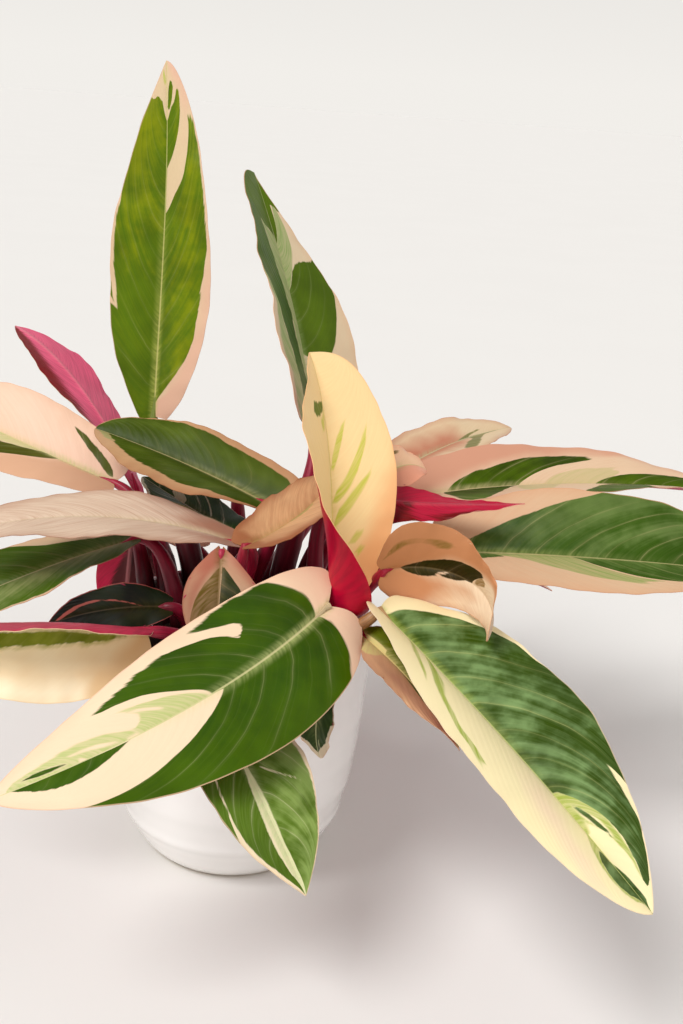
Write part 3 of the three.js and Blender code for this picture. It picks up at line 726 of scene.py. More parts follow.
make_leaf(
    "leaf_tall_left", "leaf_green", root=(-32, 46), start=(-68, 100, 225),
    bearing=73, rise=86, droop=15, sway=36, length=213, width=72, roll=-12, twist=-19,
    fold=18, curl=-18, share=(0.48, 0.52), lobe=(4, 0), belly=(0.8, 0.66),
    blunt=(0.74, 1), point=(0.93, 0.62),
    green="#536E06", bright="#838D03", lime="#B4B85C", cream="#D4BC96", blush="#D9AE94",
    vein=0.15, mottle=0.7, flush=0.2, stalk="#8C2434", joint="#7C8A3C", sheath=2.4,
    marks=[
        sector("green", "L", (0, 0, 83), (25, 0, 87), (50, 0, 85), (62, 0, 82), (75, 0, 75),
            (90, 0, 66), (100, 0, 58)),
        band("bright", "L", (30, 100, 100), (40, 60, 100), (55, 35, 100), (80, 20, 100),
            (87, 30, 80)),
        band("bright", "R", (20, 50, 60), (30, 40, 80), (50, 50, 90), (55, 60, 70)),
        band("cream", "L", (12, 110, 100), (14, 84, 93), (16, 88, 97), (20, 92, 100), (30, 96, 100),
            (34, 110, 100)),
        sector("lime", "L", (8, 94, 94), (15, 92.5, 95), (40, 93, 96), (70, 94, 95)),
        sector("green", "R", (0, 3.5, 57.5), (25, 5.5, 58), (50, 7, 55.5), (75, 9, 58),
            (80, 10, 62), (90, 20, 60), (100, 25, 50)),
        band("cream", "R", (0, 80, 100), (18, 83, 100), (22, 95, 100), (50, 97, 100),
            (60, 84, 100)),
        sector("green", "R", (2, 70, 83.5), (20, 71, 85.5), (35, 72.5, 85), (50, 74.5, 86),
            (60, 77, 86), (66, 82, 83)),
        sector("green", "R", (2, 87, 87), (10, 85.5, 92), (25, 87, 93.5), (38, 90, 92)),
        band("pink", "R", (0, 0, 100), (3, 0, 100), (5, 50, 100), (20, 85, 100), (25, 110, 100)),
        band("pink", "R", (55, 100, 100), (65, 75, 100), (80, 70, 100), (100, 40, 100)),
    ],
)
make_leaf(
    "leaf_tall_middle", "leaf_green", root=(18, 42), start=(33, 66, 231),
    bearing=104, rise=48, droop=-8, sway=29, length=178, width=88, roll=35, twist=-34,
    fold=(29, 6), curl=-2, belly=(0.53, 0.61), point=(0.3, 1.38),
    green="#375606", bright="#51680C", lime="#899B5C", cream="#D3BE9E", blush="#DBA884",
    vein=0.15, mottle=0.4, flush=0.2, sheath=2.4,
    marks=[
        band("lime", "L", (0, 0, 85), (20, 0, 88), (30, 0, 100), (72, 0, 100), (78, 0, 30),
            (80, 0, 0)),
        band("green", "L", (0, 0, 40), (12, 0, 42), (18, 6, 50), (24, 14, 80), (29, 20, 100),
            (40, 20, 100), (50, 30, 100), (60, 42, 100), (68, 55, 100), (74, 20, 100), (79, 0, 100),
            (100, 0, 100)),
        band("bright", "L", (10, 70, 100), (45, 75, 100), (60, 50, 100), (75, 0, 100),
            (100, 0, 100)),
        sector("green", "R", (0, 30, 54), (20, 25, 58.5), (35, 22, 57), (50, 21, 53), (65, 22, 47),
            (80, 24, 40), (100, 26, 33)),
        sector("lime", "R", (0, 54, 73), (15, 58, 76), (30, 60, 78), (50, 60, 78), (70, 61, 76),
            (82, 64, 71), (86, 67, 68)),
        sector("green", "R", (0, 72, 100), (20, 76, 100), (40, 80, 100), (50, 81, 100),
            (60, 78, 100), (75, 70, 100), (85, 60, 100), (100, 50, 100)),
        band("bright", "R", (60, 0, 100), (100, 0, 100)),
    ],
)

# ---------------------------------------------------------------------------
# The cream leaf in the middle. A leaf with hardly any green, standing on edge,
# whose lower left half is rolled over so that its crimson underside shows.

make_leaf(
    "leaf_cream_centre", "leaf_cream", root=(46, -8), start=(50, -28, 162),
    bearing=97, rise=82, droop=42, sway=19, length=144, width=80, roll=24, twist=-5,
    fold=(39, 14), curl=(185, 20), fold_tip=(34, 22), curl_tip=(-7, -1), opening=3.6,
    share=(0.56, 0.46), belly=(0.65, 1.07), blunt=(0.42, 0.52), point=(0.86, 0.3),
    green="#5E7210", bright="#8E9A38", lime="#BDBC43", cream="#F2D29A", blush="#EFB27B",
    rosy="#CC0436", deep="#8C0A26", vein=0.1, flush=0.14, stalk="#A81438", midrib=0.4,
    grain=0.35,
    marks=[
        sector("lime", "R", (2, 29, 30), (10, 29.5, 34.5), (30, 30.5, 36), (45, 31.5, 35.5),
            (60, 32.5, 33.5)),
        sector("lime", "R", (0, 38.5, 38), (8, 37.5, 42), (25, 38.5, 43.5), (40, 40, 46.5),
            (55, 44, 48.5), (68, 48, 48.5)),
        sector("lime", "R", (0, 51, 50), (5, 50, 56), (15, 55, 61.5), (25, 60, 64), (32, 63, 64)),
        sector("lime", "R", (28, 20, 19), (40, 17.5, 20.5), (50, 18, 19)),
        sector("lime", "R", (42, 15, 14), (50, 13, 15), (60, 13.5, 13)),
        band("lime", "L", (60, 22, 22), (64, 12, 26), (70, 6, 14), (74, 3, 3)),
        band("green", "L", (54, 58, 57), (57, 50, 58.5), (62, 36, 54), (67, 24, 42), (72, 11, 28),
            (76.5, 3, 10), (78, 4, 3)),
        band("pink", "R", (0, 0, 100), (10, 20, 100), (20, 75, 100), (30, 120, 100)),
    ],
)

# ---------------------------------------------------------------------------
# The upper left leaves. One broad green leaf lies over the middle, with peach
# and beige leaves round it, a crimson one seen from behind and one in shade.

make_leaf(
    "leaf_green_upper_left", "leaf_green", root=(-2, 22), start=(10, 16, 202),
    bearing=150, rise=13, droop=4, sway=12, length=119, width=66, roll=-20,
    fold=32, curl=-24, share=(0.56, 0.41), lobe=(4, 24), belly=(1, 0.78),
    blunt=(0.86, 0.25), point=(0.68, 0.53),
    green="#364501", bright="#5A6A20", lime="#9C9C62", cream="#C49A70", blush="#A87450",
    vein=0.08, mottle=0.2,
    marks=[
        sector("green", "R", (0, 2, 100), (60, 3, 100), (100, 7, 100)),
        band("cream", "R", (0, 70, 100), (4, 78, 100), (12, 82, 100), (25, 88, 100), (38, 97, 100),
            (60, 97, 100), (80, 92, 100), (95, 80, 100)),
        band("green", "L", (0, 0, 90), (8, 0, 80), (12, 0, 72), (20, 0, 80), (30, 0, 74),
            (45, 0, 70), (60, 0, 66), (70, 0, 60), (80, 0, 50), (88, 0, 30), (95, 0, 0)),
        # painted sheen highlight: the lighter grey-green streak along the left half
        band("bright", "L", (5, 35, 55), (20, 28, 48), (50, 30, 50), (80, 20, 50)),
        band("bright", "R", (12, 30, 80), (40, 30, 90), (60, 70, 90)),
        band("lime", "L", (74, 52, 56), (82, 42, 62), (90, 20, 50), (97, 0, 30)),
        band("pink", "L", (0, 70, 100), (10, 75, 100), (20, 90, 100), (40, 110, 100)),
    ],
)
make_leaf(
    "leaf_peach_small", "leaf_blush", root=(6, -14), start=(3, -30, 193),
    bearing=36, rise=14, droop=-8, sway=38, length=85, width=40, roll=2, twist=4,
    fold=26, curl=-20, arrive=(40, 75),
    green="#78703C", lime="#A39A58", cream="#DEB180", blush="#9B6240", vein=0.25, flush=0.5,
    midrib=0.3, sheath=1.6, stalk="#B01C3C", joint="#A82838", grain=0.8,
    marks=[
        band("lime", "R", (35, 10, 10), (45, 0, 16), (56, 0, 12), (60, 5, 5)),
        band("pink", "L", (0, 0, 100), (8, 0, 50), (15, 10, 10)),
        band("pink", "R", (0, 0, 100), (8, 0, 40), (15, 0, 0)),
    ],
)
make_leaf(
    "leaf_blush_far_left", "leaf_blush", root=(-44, 18), start=(-86, 66, 191),
    bearing=168, rise=16, droop=12, sway=-30, length=165, width=66, roll=-24,
    twist=-16, fold=30, curl=-24,
    green="#4E4E05", lime="#C5C386", cream="#EEC8AE", blush="#D8A887", vein=0.12, flush=0.2,
    grain=0.4,
    marks=[
        band("pink", "L", (0, 0, 100), (21, 5, 100), (25, 40, 100), (27, 110, 100)),
        sector("green", "L", (2, 23, 32), (10, 22.5, 35), (25, 23, 39), (34, 23.5, 50),
            (45, 25, 70), (80, 26, 80), (100, 26, 80)),
        band("lime", "L", (30, 10, 5), (34, 0, 18), (40, 0, 30), (55, 0, 40), (70, 10, 10)),
        band("green", "R", (1.5, 16, 15), (3, 14, 40), (7, 30, 60), (10, 45, 70), (12.5, 68, 72)),
        sector("green", "R", (30, 72, 70), (50, 60, 74), (80, 60, 70), (100, 62, 68)),
    ],
)
make_leaf(
    "leaf_beige_left", "leaf_blush", root=(-10, 4), start=(-1, -6, 185),
    bearing=178, rise=16, droop=34, sway=14, length=162, width=54, roll=-4, twist=-20,
    fold=14, curl=-8, share=(0.5, 0.4), blunt=0.8,
    green="#59672C", lime="#B7AC7C", cream="#D8C0A8", blush="#A87860", vein=0.4, flush=0.3,
    midrib=0.4, sheath=1.9, stalk="#B01C3C", joint="#B8243E", grain=1.0,
    marks=[
        band("pink", "L", (0, 0, 100), (10, 10, 60), (16, 30, 34)),
        band("pink", "R", (0, 0, 100), (12, 10, 50), (18, 30, 34)),
        band("green", "R", (2, 97, 93), (5, 93, 100), (10, 94, 100), (14, 110, 100)),
    ],
)
make_leaf(
    "leaf_crimson_back", "leaf_crimson", root=(-46, 36), start=(-77, 96, 175),
    bearing=145, rise=59, droop=54, sway=-11, length=163, width=45, roll=-148, twist=-37,
    fold=6, curl=-6, share=(0.56, 0.44), belly=1.06, blunt=(0.35, 1.29), point=0.86,
    rosy="#F3678A", deep="#7B1416", flush=0.5, sheath=2.2, stalk="#A8163C", joint="#C02048",
    marks=[
        band("green", "R", (12, 95, 100), (20, 70, 100), (30, 58, 100), (40, 52, 100),
            (60, 47, 100), (80, 38, 100), (100, 30, 100)),
    ],
)
make_leaf(
    "leaf_striped_inner", "leaf_green", root=(-20, 18), start=(-1, 6, 183),
    bearing=143, rise=10, droop=4, sway=-10, length=92, width=38,
    green="#224002", bright="#44601C", lime="#A8AE84", cream="#D9D3C4", blush="#D8A79A",
    vein=0.8, mottle=0.5, flush=0.1, sheath=2.4,
    marks=[
        ALL_GREEN,
        sector("lime", "R", (0, 55, 64), (20, 53, 68), (40, 55, 66), (60, 58, 60)),
        sector("lime", "B", (10, 30, 30), (20, 29, 31), (90, 29, 30.5), (100, 30, 30)),
        band("lime", "L", (40, 90, 100), (60, 80, 100), (80, 70, 100), (95, 50, 100)),
    ],
)

# ---------------------------------------------------------------------------
# The lower left leaves. Two dark ones in shade, a tan one standing on edge, and
# one that hangs behind with its underside outwards.

make_leaf(
    "leaf_dark_left", "leaf_green", root=(-34, -4), start=(-63, 10, 177),
    bearing=194, rise=-16, droop=12, sway=4, length=130, width=50, twist=-50,
    fold=10, curl=-10, share=(0.42, 0.5),
    green="#405D01", bright="#879057", lime="#8E9460", cream="#D9C19B", blush="#C08C6C",
    vein=0.25, mottle=0.5,
    marks=[
        ALL_GREEN,
        band("bright", "L", (10, 5, 20), (30, 2, 40), (50, 10, 70), (70, 10, 80), (100, 0, 60)),
        band("cream", "R", (5, 50, 80), (10, 50, 100), (18, 60, 100), (22, 70, 100),
            (24, 110, 100)),
        band("cream", "L", (5, 100, 95), (10, 95, 100), (50, 97, 100), (100, 95, 100)),
    ],
)
make_leaf(
    "leaf_dark_small", "leaf_green", root=(-24, -18), start=(-38, -30, 155),
    bearing=188, rise=2, droop=26, sway=-2, length=64, width=27, roll=-44, twist=-6,
    fold=12, curl=-12,
    # painted shade: the near-black green and dull pink are the leaf's own dark colours darkened
    # further for the deep shade it sits in
    green="#040201", bright="#241E04", lime="#585020", cream="#86443A", blush="#A8504A",
    vein=0.05, mottle=0.5, flush=0.5, gloss=0.5, midrib=0.15, joint="#7A2430",
    marks=[
        ALL_GREEN,
        band("cream", "R", (18, 2, 2), (24, 8, 14), (35, 28, 38), (45, 40, 52), (62, 40, 54),
            (80, 22, 42), (90, 4, 24), (93, 10, 10)),
        band("bright", "L", (10, 30, 80), (20, 20, 60), (30, 10, 30), (45, 5, 10)),
        band("bright", "R", (30, 2, 15), (60, 5, 32), (85, 5, 20)),
    ],
)
make_leaf(
    "leaf_tan_low_left", "leaf_cream", root=(-16, -40), start=(-43, -60, 154),
    bearing=186, rise=2, droop=8, length=140, width=80, roll=-95,
    fold=(55, 45), curl=(-10, 35), belly=0.7,
    # painted light: the cream and blush are set paler than the leaf's own colour, to make up for
    # the little light this blade gets standing on edge
    green="#6C7C0C", bright="#96A040", lime="#B4B264", cream="#F6E8C8", blush="#E6C494",
    rosy="#C02848", deep="#9C1E3C", vein=0.1, flush=0.2, mottle=0.6,
    marks=[
        band("lime", "L", (7, 12, 14), (15, 10, 23), (30, 7, 28), (45, 10, 33), (100, 10, 44)),
        band("green", "L", (7, 11, 12), (15, 9, 19), (30, 5, 24), (45, 8, 29), (100, 8, 40)),
        band("bright", "L", (15, 14, 30), (30, 14, 30), (100, 20, 40)),
        band("pink", "L", (0, 0, 100), (5, 20, 100), (10, 60, 70)),
    ],
)
make_leaf(
    "leaf_hanging_back_left", "leaf_crimson", root=(-56, 20), start=(-70, 44, 167),
    bearing=112, rise=-64, droop=20, length=84, width=38, roll=6,
    # partly painted shade: where the marks put green, the underside is the leaf's own maroon
    # darkened nearly to black for the shade in its folded half
    green="#3E5220", cream="#E2B49A", rosy="#D8104A", deep="#4E060C", stalk="#7A1428",
    marks=[
        band("green", "L", (0, 0, 15), (20, 0, 20), (30, 0, 45), (40, 0, 60), (100, 0, 100)),
        band("green", "R", (0, 0, 100), (100, 0, 100)),
    ],
)

# ---------------------------------------------------------------------------
# The front leaves. Two large ones arch out over the rim to the left and the
# right; a green one and a dark tip hang in front of the pot, and a striped one
# hangs in the middle.

make_leaf(
    "leaf_front_left", "leaf_green", root=(24, -40), start=(49, -50, 171),
    bearing=242, rise=-12, droop=4, sway=-40, length=198, width=80, roll=-42, twist=10,
    fold=6, curl=-6, share=(0.5, 0.44), belly=0.7, lobe=(10, 16), arrive=(10, 70),
    green="#32500A", bright="#446103", lime="#BBC27C", cream="#F4D8B6", blush="#EBBC9C",
    vein=0.16, mottle=0.4, flush=0.2, stalk="#A01838", joint="#D4C094",
    marks=[
        sector("green", "L", (0, 5, 40.5), (25, 4.5, 44), (50, 4.5, 47), (75, 4.5, 48),
            (100, 5, 47)),
        band("bright", "L", (10, 50, 100), (25, 40, 100), (40, 30, 100), (50, 50, 100)),
        band("green", "L", (66.5, 0, 0), (68, -10, 5), (72, 0, 20), (77, 0, 37), (82, 0, 40),
            (88, 0, 33), (93, 0, 15), (95, 0, 0)),
        band("bright", "L", (70, 0, 10), (80, 0, 30), (95, 0, 30)),
        sector("green", "R", (0, 6, 44), (10, 6, 44), (30, 6, 45.5), (50, 6, 46), (60, 6, 48),
            (70, 6, 52), (76, 6, 50), (100, 6, 46)),
        band("bright", "R", (20, 30, 60), (35, 20, 80), (45, 20, 80)),
        band("cream", "R", (0, 93, 100), (5, 97, 100), (12, 97, 100), (17, 90, 100), (30, 83, 100),
            (45, 75, 100), (52, 70, 100)),
        sector("cream", "R", (40, 23, 22), (47, 20.5, 22), (56, 17.5, 21.2), (64, 16.5, 21.2),
            (72, 17.5, 22.5), (85, 19.5, 27), (100, 20, 30)),
        sector("lime", "R", (0, 45, 64), (10, 45.5, 64), (18, 46, 60), (30, 48, 56), (42, 51, 55),
            (47, 53, 54)),
        sector("cream", "R", (12, 55, 53), (20, 53, 54.5), (40, 53.5, 56)),
        band("lime", "R", (64, 5, 10), (67, 2, 30), (72, 0, 42), (78, 10, 42), (85, 0, 42),
            (92, 0, 38), (95, 0, 20), (96, 0, 0)),
        band("cream", "R", (69, 5, 6), (72, 8, 18), (75, 16, 24), (78, 22, 24)),
        band("green", "R", (81, 10, 12), (85, 9, 24), (88, 12, 27), (91, 24, 25)),
    ],
)
make_leaf(
    "leaf_front_right", "leaf_green", root=(42, -38), start=(76, -43, 168),
    bearing=-46, rise=-19, droop=-3, sway=-13, length=205, width=86, roll=-10, twist=23,
    fold=35, curl=-30, share=(0.54, 0.46), belly=(0.75, 1), blunt=(0.66, 0.56),
    point=(0.83, 0.51), arrive=(35, 45),
    # painted highlight: the bright tissue is a pale silvery green, strongly mottled, for the sheen
    # that the veins break up
    green="#334902", bright="#7E9A60", lime="#9DAB47", cream="#F3E3B1", blush="#F2D7B3",
    vein=0.3, mottle=0.8, flush=0.12, stalk="#A4764A", joint="#C8A070", gloss=0.34,
    marks=[
        sector("green", "L", (0, 2, 66), (10, 3, 66.5), (40, 3.5, 70), (50, 4, 74), (57, 4.5, 84),
            (60, 4.5, 91), (70, 5.5, 88.5), (80, 7, 85), (90, 10, 76), (97, 13, 60), (100, 16, 50)),
        # painted highlight: the silvery streaks beside the midrib on the left half
        band("bright", "L", (8, 25, 50), (15, 10, 55), (30, 8, 50), (38, 20, 30), (48, 10, 55),
            (60, 10, 50), (66, 30, 50)),
        band("cream", "L", (38, 110, 100), (39.5, 84, 95), (42, 84, 100), (47, 92, 100),
            (52, 110, 100)),
        band("lime", "L", (66, 3, 5), (68, 0, 25), (70, 0, 40), (75, 0, 52), (82, 0, 58),
            (90, 30, 60), (93, 50, 60)),
        band("cream", "L", (75, 10, 10), (78, 5, 32), (83, 0, 49), (88, 0, 55), (93, 0, 100),
            (100, 0, 100)),
        band("green", "L", (70, 10, 11), (73, 12, 27), (76, 21, 34), (78, 33, 34)),
        band("green", "L", (87, 0, 2), (90, 3, 12), (93, 0, 20), (96, 0, 35), (98.5, 0, 20)),
        sector("lime", "R", (5, 12, 12), (20, 12, 13.8), (50, 12.5, 14.8), (65, 14, 16),
            (72, 15.5, 15.5)),
        sector("lime", "R", (5, 17.5, 18), (20, 18, 21), (40, 18, 23), (60, 18.5, 22), (75, 21, 25),
            (82, 23, 32), (87, 26, 30), (90, 28, 28)),
        band("lime", "R", (78, 2, 2), (80, 0, 20), (83, 0, 35), (87, 0, 45), (92, 0, 45),
            (96, 0, 35), (98, 0, 0)),
        band("green", "R", (82.5, 10, 10), (83.5, 2, 25), (86, 2, 35), (90, 0, 40), (94, 0, 33),
            (96.5, 0, 12), (98, 0, 0)),
        band("bright", "R", (84, 10, 10), (87, 10, 35), (92, 5, 30), (94, 10, 20)),
        band("pink", "R", (50, 50, 50), (60, 20, 70), (68, 30, 80), (76, 60, 60)),
    ],
)
make_leaf(
    "leaf_under_right", "leaf_blush", root=(52, -28), start=(67, -41, 153),
    bearing=-46, rise=-12, droop=5, sway=-20, length=93, width=39, roll=9, fold=36,
    curl=-26, blunt=(1.1, 1.4), point=1.24, arrive=(-40, 10),
    green="#626E03", bright="#6A6C18", lime="#DBD087", cream="#E8BD8B", blush="#BF8F6F",
    vein=0.25, flush=0.4, rosy="#B86850", grain=0.6,
    marks=[
        sector("lime", "B", (0, 0, 24), (50, 0, 16), (100, 0, 6)),
        band("green", "L", (0, 30, 100), (10, 22, 100), (20, 15, 100), (30, 0, 100), (100, 0, 100)),
        band("green", "R", (33, 0, 2), (42, 0, 10), (55, 0, 22), (70, 10, 28), (76, 20, 20)),
        band("pink", "R", (15, 60, 70), (30, 40, 80), (60, 40, 90), (80, 30, 100), (100, 0, 100)),
    ],
)
make_leaf(
    "leaf_front_low", "leaf_green", root=(2, -54), start=(-16, -82, 148),
    bearing=-52, rise=-28, droop=6, sway=-3, length=128, width=58, roll=-3, twist=3,
    fold=8, curl=-6, share=(0.52, 0.48), belly=1, point=0.91, arrive=(-80, 20),
    green="#557119", bright="#8BA254", lime="#CDD29A", cream="#EFE0BA", blush="#DDBC9C",
    vein=0.35, mottle=0.9, midrib=1.0,
    marks=[
        ALL_GREEN,
        band("bright", "L", (25, 50, 100), (45, 20, 95), (55, 50, 100), (70, 40, 100),
            (100, 20, 100)),
        sector("lime", "L", (20, 45.6, 46), (30, 44.9, 45.8), (50, 41.6, 42.5), (65, 38, 38.9),
            (75, 35.5, 36)),
        band("lime", "L", (46, 0, 1), (60, 0, 6), (80, 0, 5), (90, 0, 12), (100, 0, 40)),
        band("lime", "R", (42, 0, 1), (50, 0, 8), (60, 0, 15), (70, 0, 22), (80, 0, 30),
            (90, 0, 30), (100, 0, 0)),
        band("cream", "R", (64, 12, 14), (74, 17, 24), (84, 22, 30), (90, 28, 30)),
        band("cream", "R", (20, 60, 63), (30, 66, 70), (38, 76, 82), (46, 88, 100), (65, 84, 100),
            (80, 76, 100), (90, 66, 100), (100, 40, 100)),
        band("cream", "L", (0, 90, 100), (25, 93, 100), (35, 98, 100), (80, 97, 100), (90, 90, 100),
            (100, 70, 100)),
    ],
)
make_leaf(
    "leaf_low_tip", "leaf_green", root=(38, -47), start=(51, -80, 143),
    bearing=-124, rise=-59, droop=62, length=46, width=22, arrive=(-60, -40), reach=0.5,
    green="#203402", bright="#4A6420", lime="#A8B070", cream="#D0C4A4", blush="#CFA890",
    vein=0.3,
    marks=[
        band("green", "L", (0, 0, 100), (22, 0, 85), (40, 0, 80), (55, 0, 62), (70, 0, 45),
            (80, 0, 30), (88, 0, 10), (90, 0, 0)),
        band("green", "R", (0, 0, 100), (40, 0, 90), (55, 0, 65), (70, 0, 48), (80, 0, 35),
            (87, 0, 15), (90, 0, 0)),
        band("lime", "L", (60, 20, 20), (68, 22, 34), (78, 26, 32), (82, 30, 30)),
    ],
)
make_leaf(
    "leaf_hanging_centre", "leaf_blush", root=(-10, -30), start=(-8, -42, 193),
    bearing=-86, rise=-35, droop=46, length=57, width=40, roll=-6,
    share=(0.54, 0.46), belly=1, blunt=(1.2, 0.9), arrive=(-88, 75),
    # painted shade: the tan, olive and green are the leaf's own colours darkened for the shade it
    # hangs in under the other leaves
    green="#282C08", bright="#55581C", lime="#67531D", cream="#C19D7C", blush="#AA6651",
    vein=0.4, flush=0.4,
    marks=[
        band("green", "L", (13, 12, 12), (17, 8, 27), (24, 7, 52), (34, 4, 70), (60, 0, 60),
            (80, 0, 30), (90, 0, 0)),
        sector("lime", "R", (0, 15, 85), (25, 20, 80), (45, 24, 70), (65, 30, 60), (85, 40, 45)),
        band("pink", "R", (0, 0, 100), (15, 10, 90), (25, 50, 90), (35, 80, 90)),
    ],
)

# ---------------------------------------------------------------------------
# The right leaves. A broad green one and a long pink one reach out to the side,
# with a young curled leaf, one still twisted shut, one folded over towards the
# front and one behind.

make_leaf(
    "leaf_drooping_right", "leaf_blush", root=(56, 0), start=(77, -26, 183),
    bearing=23, rise=12, droop=39, sway=-138, length=97, width=50, roll=93, twist=-18,
    fold=18, curl=-10, share=(0.57, 0.41), belly=0.5, blunt=(1.4, 1.07), point=0.59,
    arrive=(-60, 55),
    green="#281E02", bright="#46400C", lime="#896931", cream="#F1DABB", blush="#C4875E",
    vein=0.2, flush=0.35, midrib=0.15, rosy="#E8C8A0", grain=0.5,
    marks=[
        band("pink", "L", (0, 0, 100), (30, 10, 100), (50, 60, 100), (56, 80, 80)),
        band("pink", "R", (0, 0, 100), (20, 10, 80), (40, 15, 50), (50, 30, 30)),
        band("lime", "L", (2, 45, 50), (5, 48, 62), (10, 56, 64), (18, 57, 66), (22, 50, 66),
            (24, 55, 60)),
        sector("lime", "L", (5, 55, 57), (25, 52, 60), (40, 50, 56), (50, 48, 48)),
        band("green", "L", (10, 0, 0), (12, 0, 5), (20, 0, 14), (30, 0, 28), (38, 0, 43),
            (45, 0, 57), (49, 0, 50), (52, 0, 30), (53, 0, 0)),
        band("green", "R", (10, 0, 0), (13, 0, 12), (18, 0, 22), (22, 0, 22), (30, 0, 17),
            (40, 0, 17), (45, 0, 10), (50, 0, 0)),
        band("cream", "R", (27, 17, 18), (30, 8, 15), (35, 2, 8), (37, 2, 3)),
    ],
)
make_leaf(
    "leaf_green_right", "leaf_green", root=(52, 14), start=(108, 18, 180),
    bearing=-12, rise=8, droop=14, sway=18, length=200, width=84, roll=30,
    fold=24, curl=-14, share=(0.5, 0.38),
    green="#314F02", bright="#63783C", lime="#8C9756", cream="#D0AE8C", blush="#CC9470",
    vein=0.4, mottle=0.6, flush=0.25, grain=0.5,
    marks=[
        band("green", "L", (0, 0, 100), (100, 0, 100)),
        band("cream", "L", (0, 0, 100), (6, 15, 100), (9, 30, 100), (12, 47, 100), (16, 65, 100),
            (19, 85, 100), (21, 110, 100)),
        band("bright", "L", (15, 10, 40), (22, 10, 100), (30, 30, 100), (36, 90, 100)),
        sector("bright", "L", (0, 41, 42), (20, 41, 46), (50, 42, 56), (75, 44, 55), (90, 45, 50)),
        band("green", "R", (2, 0, 10), (8, 0, 30), (14, 0, 22), (20, 0, 10), (34, 0, 6)),
        sector("lime", "R", (0, 14, 39), (10, 17, 39), (20, 22, 39), (40, 23.5, 38.5), (60, 27, 40),
            (68, 30, 42), (72, 33, 35)),
        sector("green", "R", (3, 38, 100), (10, 38.5, 100), (30, 39, 100), (50, 40, 100),
            (62, 42, 95), (70, 47, 90), (80, 60, 80)),
        band("bright", "R", (40, 0, 20), (60, 0, 30), (90, 0, 20)),
    ],
)
make_leaf(
    "leaf_pink_right", "leaf_blush", root=(40, 34), start=(86, 63, 195),
    bearing=18, rise=8, droop=14, sway=-14, length=224, width=70, roll=16, twist=-16,
    fold=28, curl=-18,
    green="#242E03", bright="#496102", lime="#C1B17F", cream="#DDC09F", blush="#CB9378",
    vein=0.25, flush=0.4, grain=0.4,
    marks=[
        band("pink", "L", (0, 0, 100), (20, 50, 100), (35, 80, 100), (40, 110, 100)),
        band("green", "L", (14, 0, 0), (15, 0, 20), (17.5, 0, 40), (20, 0, 42), (23, 0, 60),
            (30, 0, 72), (34.5, 2, 72), (36, 40, 70), (39, 60, 62)),
        sector("lime", "L", (0, 42, 57), (20, 42, 59), (35, 44, 58), (45, 50, 52)),
        sector("green", "L", (0, 56.5, 95), (15, 58, 93), (30, 60, 88), (45, 65, 82), (60, 72, 75)),
        band("bright", "L", (56, 0, 50), (70, 0, 70), (90, 0, 50)),
        sector("green", "R", (0, 14, 34.5), (10, 12, 32), (30, 10, 25), (50, 8.5, 18.5),
            (75, 7, 12.5), (95, 6.5, 8)),
        sector("lime", "R", (5, 37, 50), (20, 30, 42), (40, 24, 34), (60, 20, 26), (80, 18, 20)),
        sector("green", "R", (25, 66, 65), (35, 52, 64), (50, 42, 56), (70, 32, 48), (85, 25, 40),
            (100, 20, 35)),
        band("bright", "R", (30, 40, 100), (60, 30, 60)),
    ],
)
make_leaf(
    "leaf_pink_back_right", "leaf_blush", root=(30, 50), start=(77, 100, 194),
    bearing=45, rise=19, droop=22, length=127, width=49, twist=16, fold=22, curl=-16,
    green="#887F4B", bright="#A9AE80", lime="#B6B68C", cream="#DAC29D", blush="#B97258",
    vein=0.15, flush=0.3,
    marks=[
        band("pink", "B", (10, 0, 60), (30, 0, 45), (50, 0, 30), (60, 0, 0)),
        band("green", "R", (25, 82, 78), (32, 60, 78), (45, 42, 60), (60, 22, 40), (75, 0, 16),
            (85, 0, 10), (90, 0, 0)),
        band("green", "L", (55, 0, 0), (65, 5, 16), (72, 16, 26), (75, 24, 24)),
    ],
)
make_leaf(
    "leaf_curled_young", "leaf_blush", root=(34, 24), start=(69, 30, 211),
    bearing=36, rise=49, droop=85, sway=9, length=46, width=29, roll=31, fold=16, curl=-10,
    green="#5C4C10", cream="#EFC39D", blush="#E79F81", vein=0.3, flush=0.3,
    marks=[
        band("green", "L", (20, 65, 70), (30, 57, 75), (36, 58, 73), (44, 62, 64)),
        band("pink", "R", (0, 0, 100), (100, 0, 100)),
    ],
)
make_leaf(
    "leaf_twisted_right", "leaf_crimson", root=(42, 10), start=(56, 12, 210),
    bearing=-5, rise=-2, droop=-12, length=97, width=30, roll=-148, twist=-31,
    fold=1, curl=6, belly=0.56, blunt=0.41, point=1.26,
    green="#4A6020", cream="#F0C0A4", blush="#E27C80", rosy="#C0153B", deep="#6F0202",
    flush=0.5, midrib=0.2,
    marks=[
        band("green", "L", (10, 110, 100), (14, 70, 100), (20, 40, 80), (30, 6, 30), (36, 0, 10),
            (38, 0, 0)),
        band("green", "L", (20, 110, 100), (28, 70, 100), (38, 60, 95), (43, 80, 82)),
    ],
)

# ---------------------------------------------------------------------------
# The leaves at the back. Four grown leaves that arch away behind, green along
# the middle with cream and pink streaks out to the edge.

